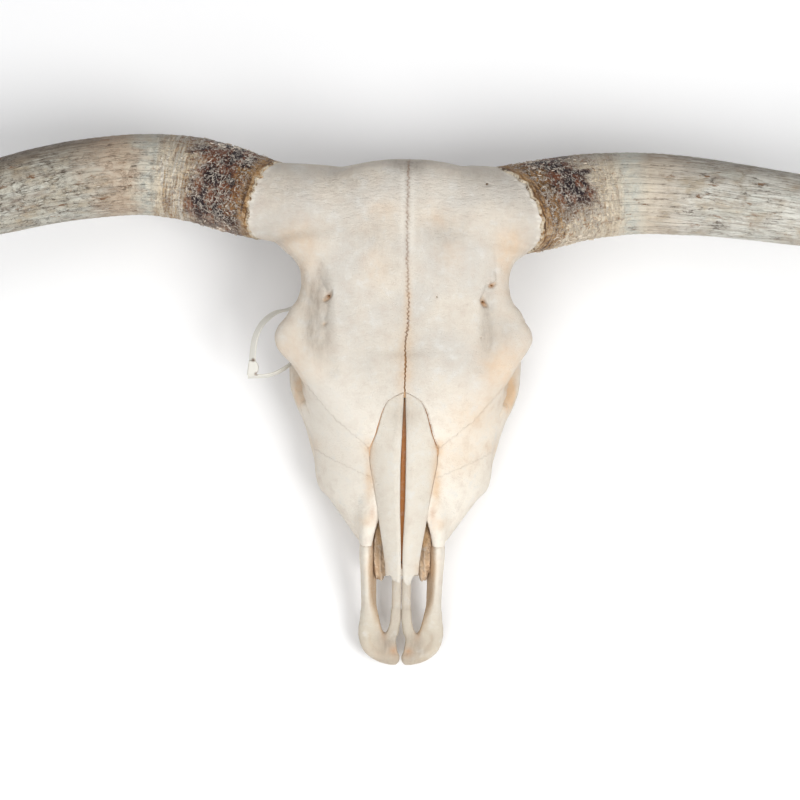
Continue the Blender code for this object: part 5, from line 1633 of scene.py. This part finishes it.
cavity = Field((-60, -432, -96), (60, -240, 26), 3.0)
cavity.join(loft(NASAL_CAVITY, 2.2, 2.4), 1)
bone_fullness = fullness(bone)
print("fullness grids ready")


# %% Nearness of the next bone
# How dark a seam is for the pairs of bones whose seam stands open; all others are nearly closed
OPEN_SEAMS = {
    ("frontal", "frontal"): 1.0, ("frontal", "nasal"): 0.3, ("incisive", "incisive"): 0.35,
    ("incisive", "maxilla"): 0.3, ("maxilla", "nasal"): 0.05,
}
CLOSED_SEAM = 0.12
SEAM_REACH = 1.5               # mm over which a seam's dirt fades


def nearness(name, points, trees, boxes):
    """One where another bone is closer than a hairline, nought beyond about a millimetre and a half."""
    kind = name.split("_")[0]
    near = np.zeros(len(points))
    for other, tree in trees.items():
        other_kind = other.split("_")[0]
        if other == name or "turbinate" in (kind, other_kind) or "vomer" in (kind, other_kind):
            continue
        low, high = boxes[other]
        strength = OPEN_SEAMS.get(tuple(sorted((kind, other_kind))), CLOSED_SEAM)
        for i in np.nonzero(((points > low - SEAM_REACH) & (points < high + SEAM_REACH)).all(axis=1))[0]:
            found = tree.find_nearest(points[i], SEAM_REACH)[3]
            if found is not None:
                near[i] = max(near[i], strength * min(1.0, 1.25 - found / 1.1))
    return near


def vertex_values(vectors, field):
    """A named triple of numbers for each vertex, as rows."""
    values = np.empty(len(vectors) * 3, np.float32)
    vectors.foreach_get(field, values)
    return values.reshape(-1, 3)


def paint_bone(name, obj, trees, boxes):
    """Writes a bone's eight numbers as attributes of its vertices."""
    points = vertex_values(obj.data.vertices, "co").astype(float)
    facing = vertex_values(obj.data.vertex_normals, "vector")
    field = fields.get(name, bone)
    fine, coarse = bone_fullness if field is bone else fullness(field)
    near, wide = field.read(fine, points), field.read(coarse, points)
    upward = np.clip(facing[:, 2] * 1.8, 0, 1)
    x, y, z = points.T
    below_brow = np.clip((-z - 30) / 30, 0, 1)
    inner_wall_shade = np.clip(-facing[:, 0] * np.sign(x) - 0.2, 0, 0.7) * (np.abs(x) > 12) * ("incisive" in name)
    back = np.clip((y + 84) / 60, 0, 1)
    seam_gap = np.full(len(points), 99.0)
    for which, side in SIDES:
        joint, facing_out, _ = HORN_JOINT[which]
        gap_here = (points * (side, 1, 1) - joint) @ np.array(facing_out)
        seam_gap = np.where(x * side > 60, np.abs(gap_here + 1.6), seam_gap)
    at_sheath = np.clip(1.6 - seam_gap / 1.6, 0, 1) * (0.55 + 0.6 * np.sin(y * 0.9 + 2 * np.sin(y * 0.31)))
    values = {
        "suture": nearness(name, points, trees, boxes) * (
            np.interp(-y, (0, 60, 130, 180), (0.6, 0.5, 0.6, 1.0)) if "frontal" in name else 1),
        # hollow: painted shade that also stands for dirt, darker where more bone lies round a point and on
        # the incisive bars' inner walls
        "hollow": np.clip((wide - 0.56) * 3.0, 0, 1) * 0.8 + np.clip((near - 0.62) * 3, 0, 0.6)
                  + inner_wall_shade,
        # edge: bleaching on sharp edges and at the horn's joint, and the pale spots, three of them painted
        # light
        "edge": np.clip((0.43 - near) * 3.5, 0, name != "vomer") + spots(points, PALE_CHALK_AND_PAINTED_LIGHT_SPOTS) * upward
                + at_sheath,
        "face": np.clip((-y - 205) / 70, 0, 1) if "incisive" not in name else np.clip((y + 486) / 90, 0, 1),
        # grey: the grey spots, and painted shade on lower faces that turn from above
        "grey": spots(points, GREY_STAIN_AND_SHADE_SPOTS) * upward + 0.25 * below_brow * (1 - upward),
        # peach: the peach spots, and painted shade on lower faces that turn from above
        "peach": spots(points, PEACH_STAIN_AND_POCKET_SHADE_SPOTS) * upward + 0.2 * (1 - upward) * np.clip(-z / 20, 0, 1),
        "fibre": np.clip(back * (1 - 0.6 * below_brow) + 0.25, 0, 1),
        # inner: orange-brown on the nose passage's undersides, partly grease and partly painted shade, and
        # the brown spots
        "inner": np.clip(1.2 - field_distance(points), 0, 1) * (z < 2) * (np.abs(x) < 48) * (1 - upward)
                 + spots(points, BROWN_STAIN_AND_PIT_SHADE_SPOTS) * upward * 0.6,
    }
    for title, amount in values.items():
        attribute = obj.data.attributes.new(title, "FLOAT", "POINT")
        attribute.data.foreach_set("value", np.clip(amount, 0, 1).astype(np.float32))


def field_distance(points):
    """Distance to the wall of the nose's passage, in millimetres, and far off outside its block."""
    inside_block = ((points > cavity.low) & (
                        points < cavity.low + cavity.grain * np.array(cavity.values.shape))).all(axis=1)
    return np.where(inside_block, np.abs(cavity.read(cavity.values, points)), 9.0)


# %% Paint the bones, move them into the world and put them in place of their nodes
LOOKS = {"nasal": thin_bone, "incisive": nose_bone, "turbinate": scroll_bone, "vomer": septum}
for name, obj in bones.items():
    obj.data.materials.append(LOOKS.get(name.split("_")[0], bleached_bone))
for which, side in SIDES:
    name = f"maxilla_{which}"
    bones[name] = joined(name, bones[name], tooth_row(side))
remove(molar, premolar)
for strip in gristle:
    strip.data.materials.append(septum)
bones["frontal_right"] = joined("frontal_right", bones["frontal_right"], *gristle)
trees, boxes = {}, {}
for name, obj in bones.items():
    graph = bmesh.new()
    graph.from_mesh(obj.data)
    trees[name] = BVHTree.FromBMesh(graph)
    graph.free()
    spread = vertex_values(obj.data.vertices, "co").astype(float)
    boxes[name] = spread.min(axis=0), spread.max(axis=0)


def hand_in(obj, node, sharp=40):
    """Moves a finished piece from the skull's frame to the world's, and ties it to its node."""
    obj.name = node + "_piece"
    obj.data.transform(TO_WORLD)
    obj.data.shade_smooth()
    obj.data.set_sharp_from_angle(angle=math.radians(sharp))
    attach(obj, "root")
    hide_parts(node)


for name, obj in bones.items():
    paint_bone(name, obj, trees, boxes)
    hand_in(obj, name)
print("bones handed in:", len(bones))

for which, horn in horns.items():
    hand_in(horn, f"horn_{which}", sharp=60)
hand_in(tie_strap, "cable_tie_strap")
hand_in(tie_head, "cable_tie_head")
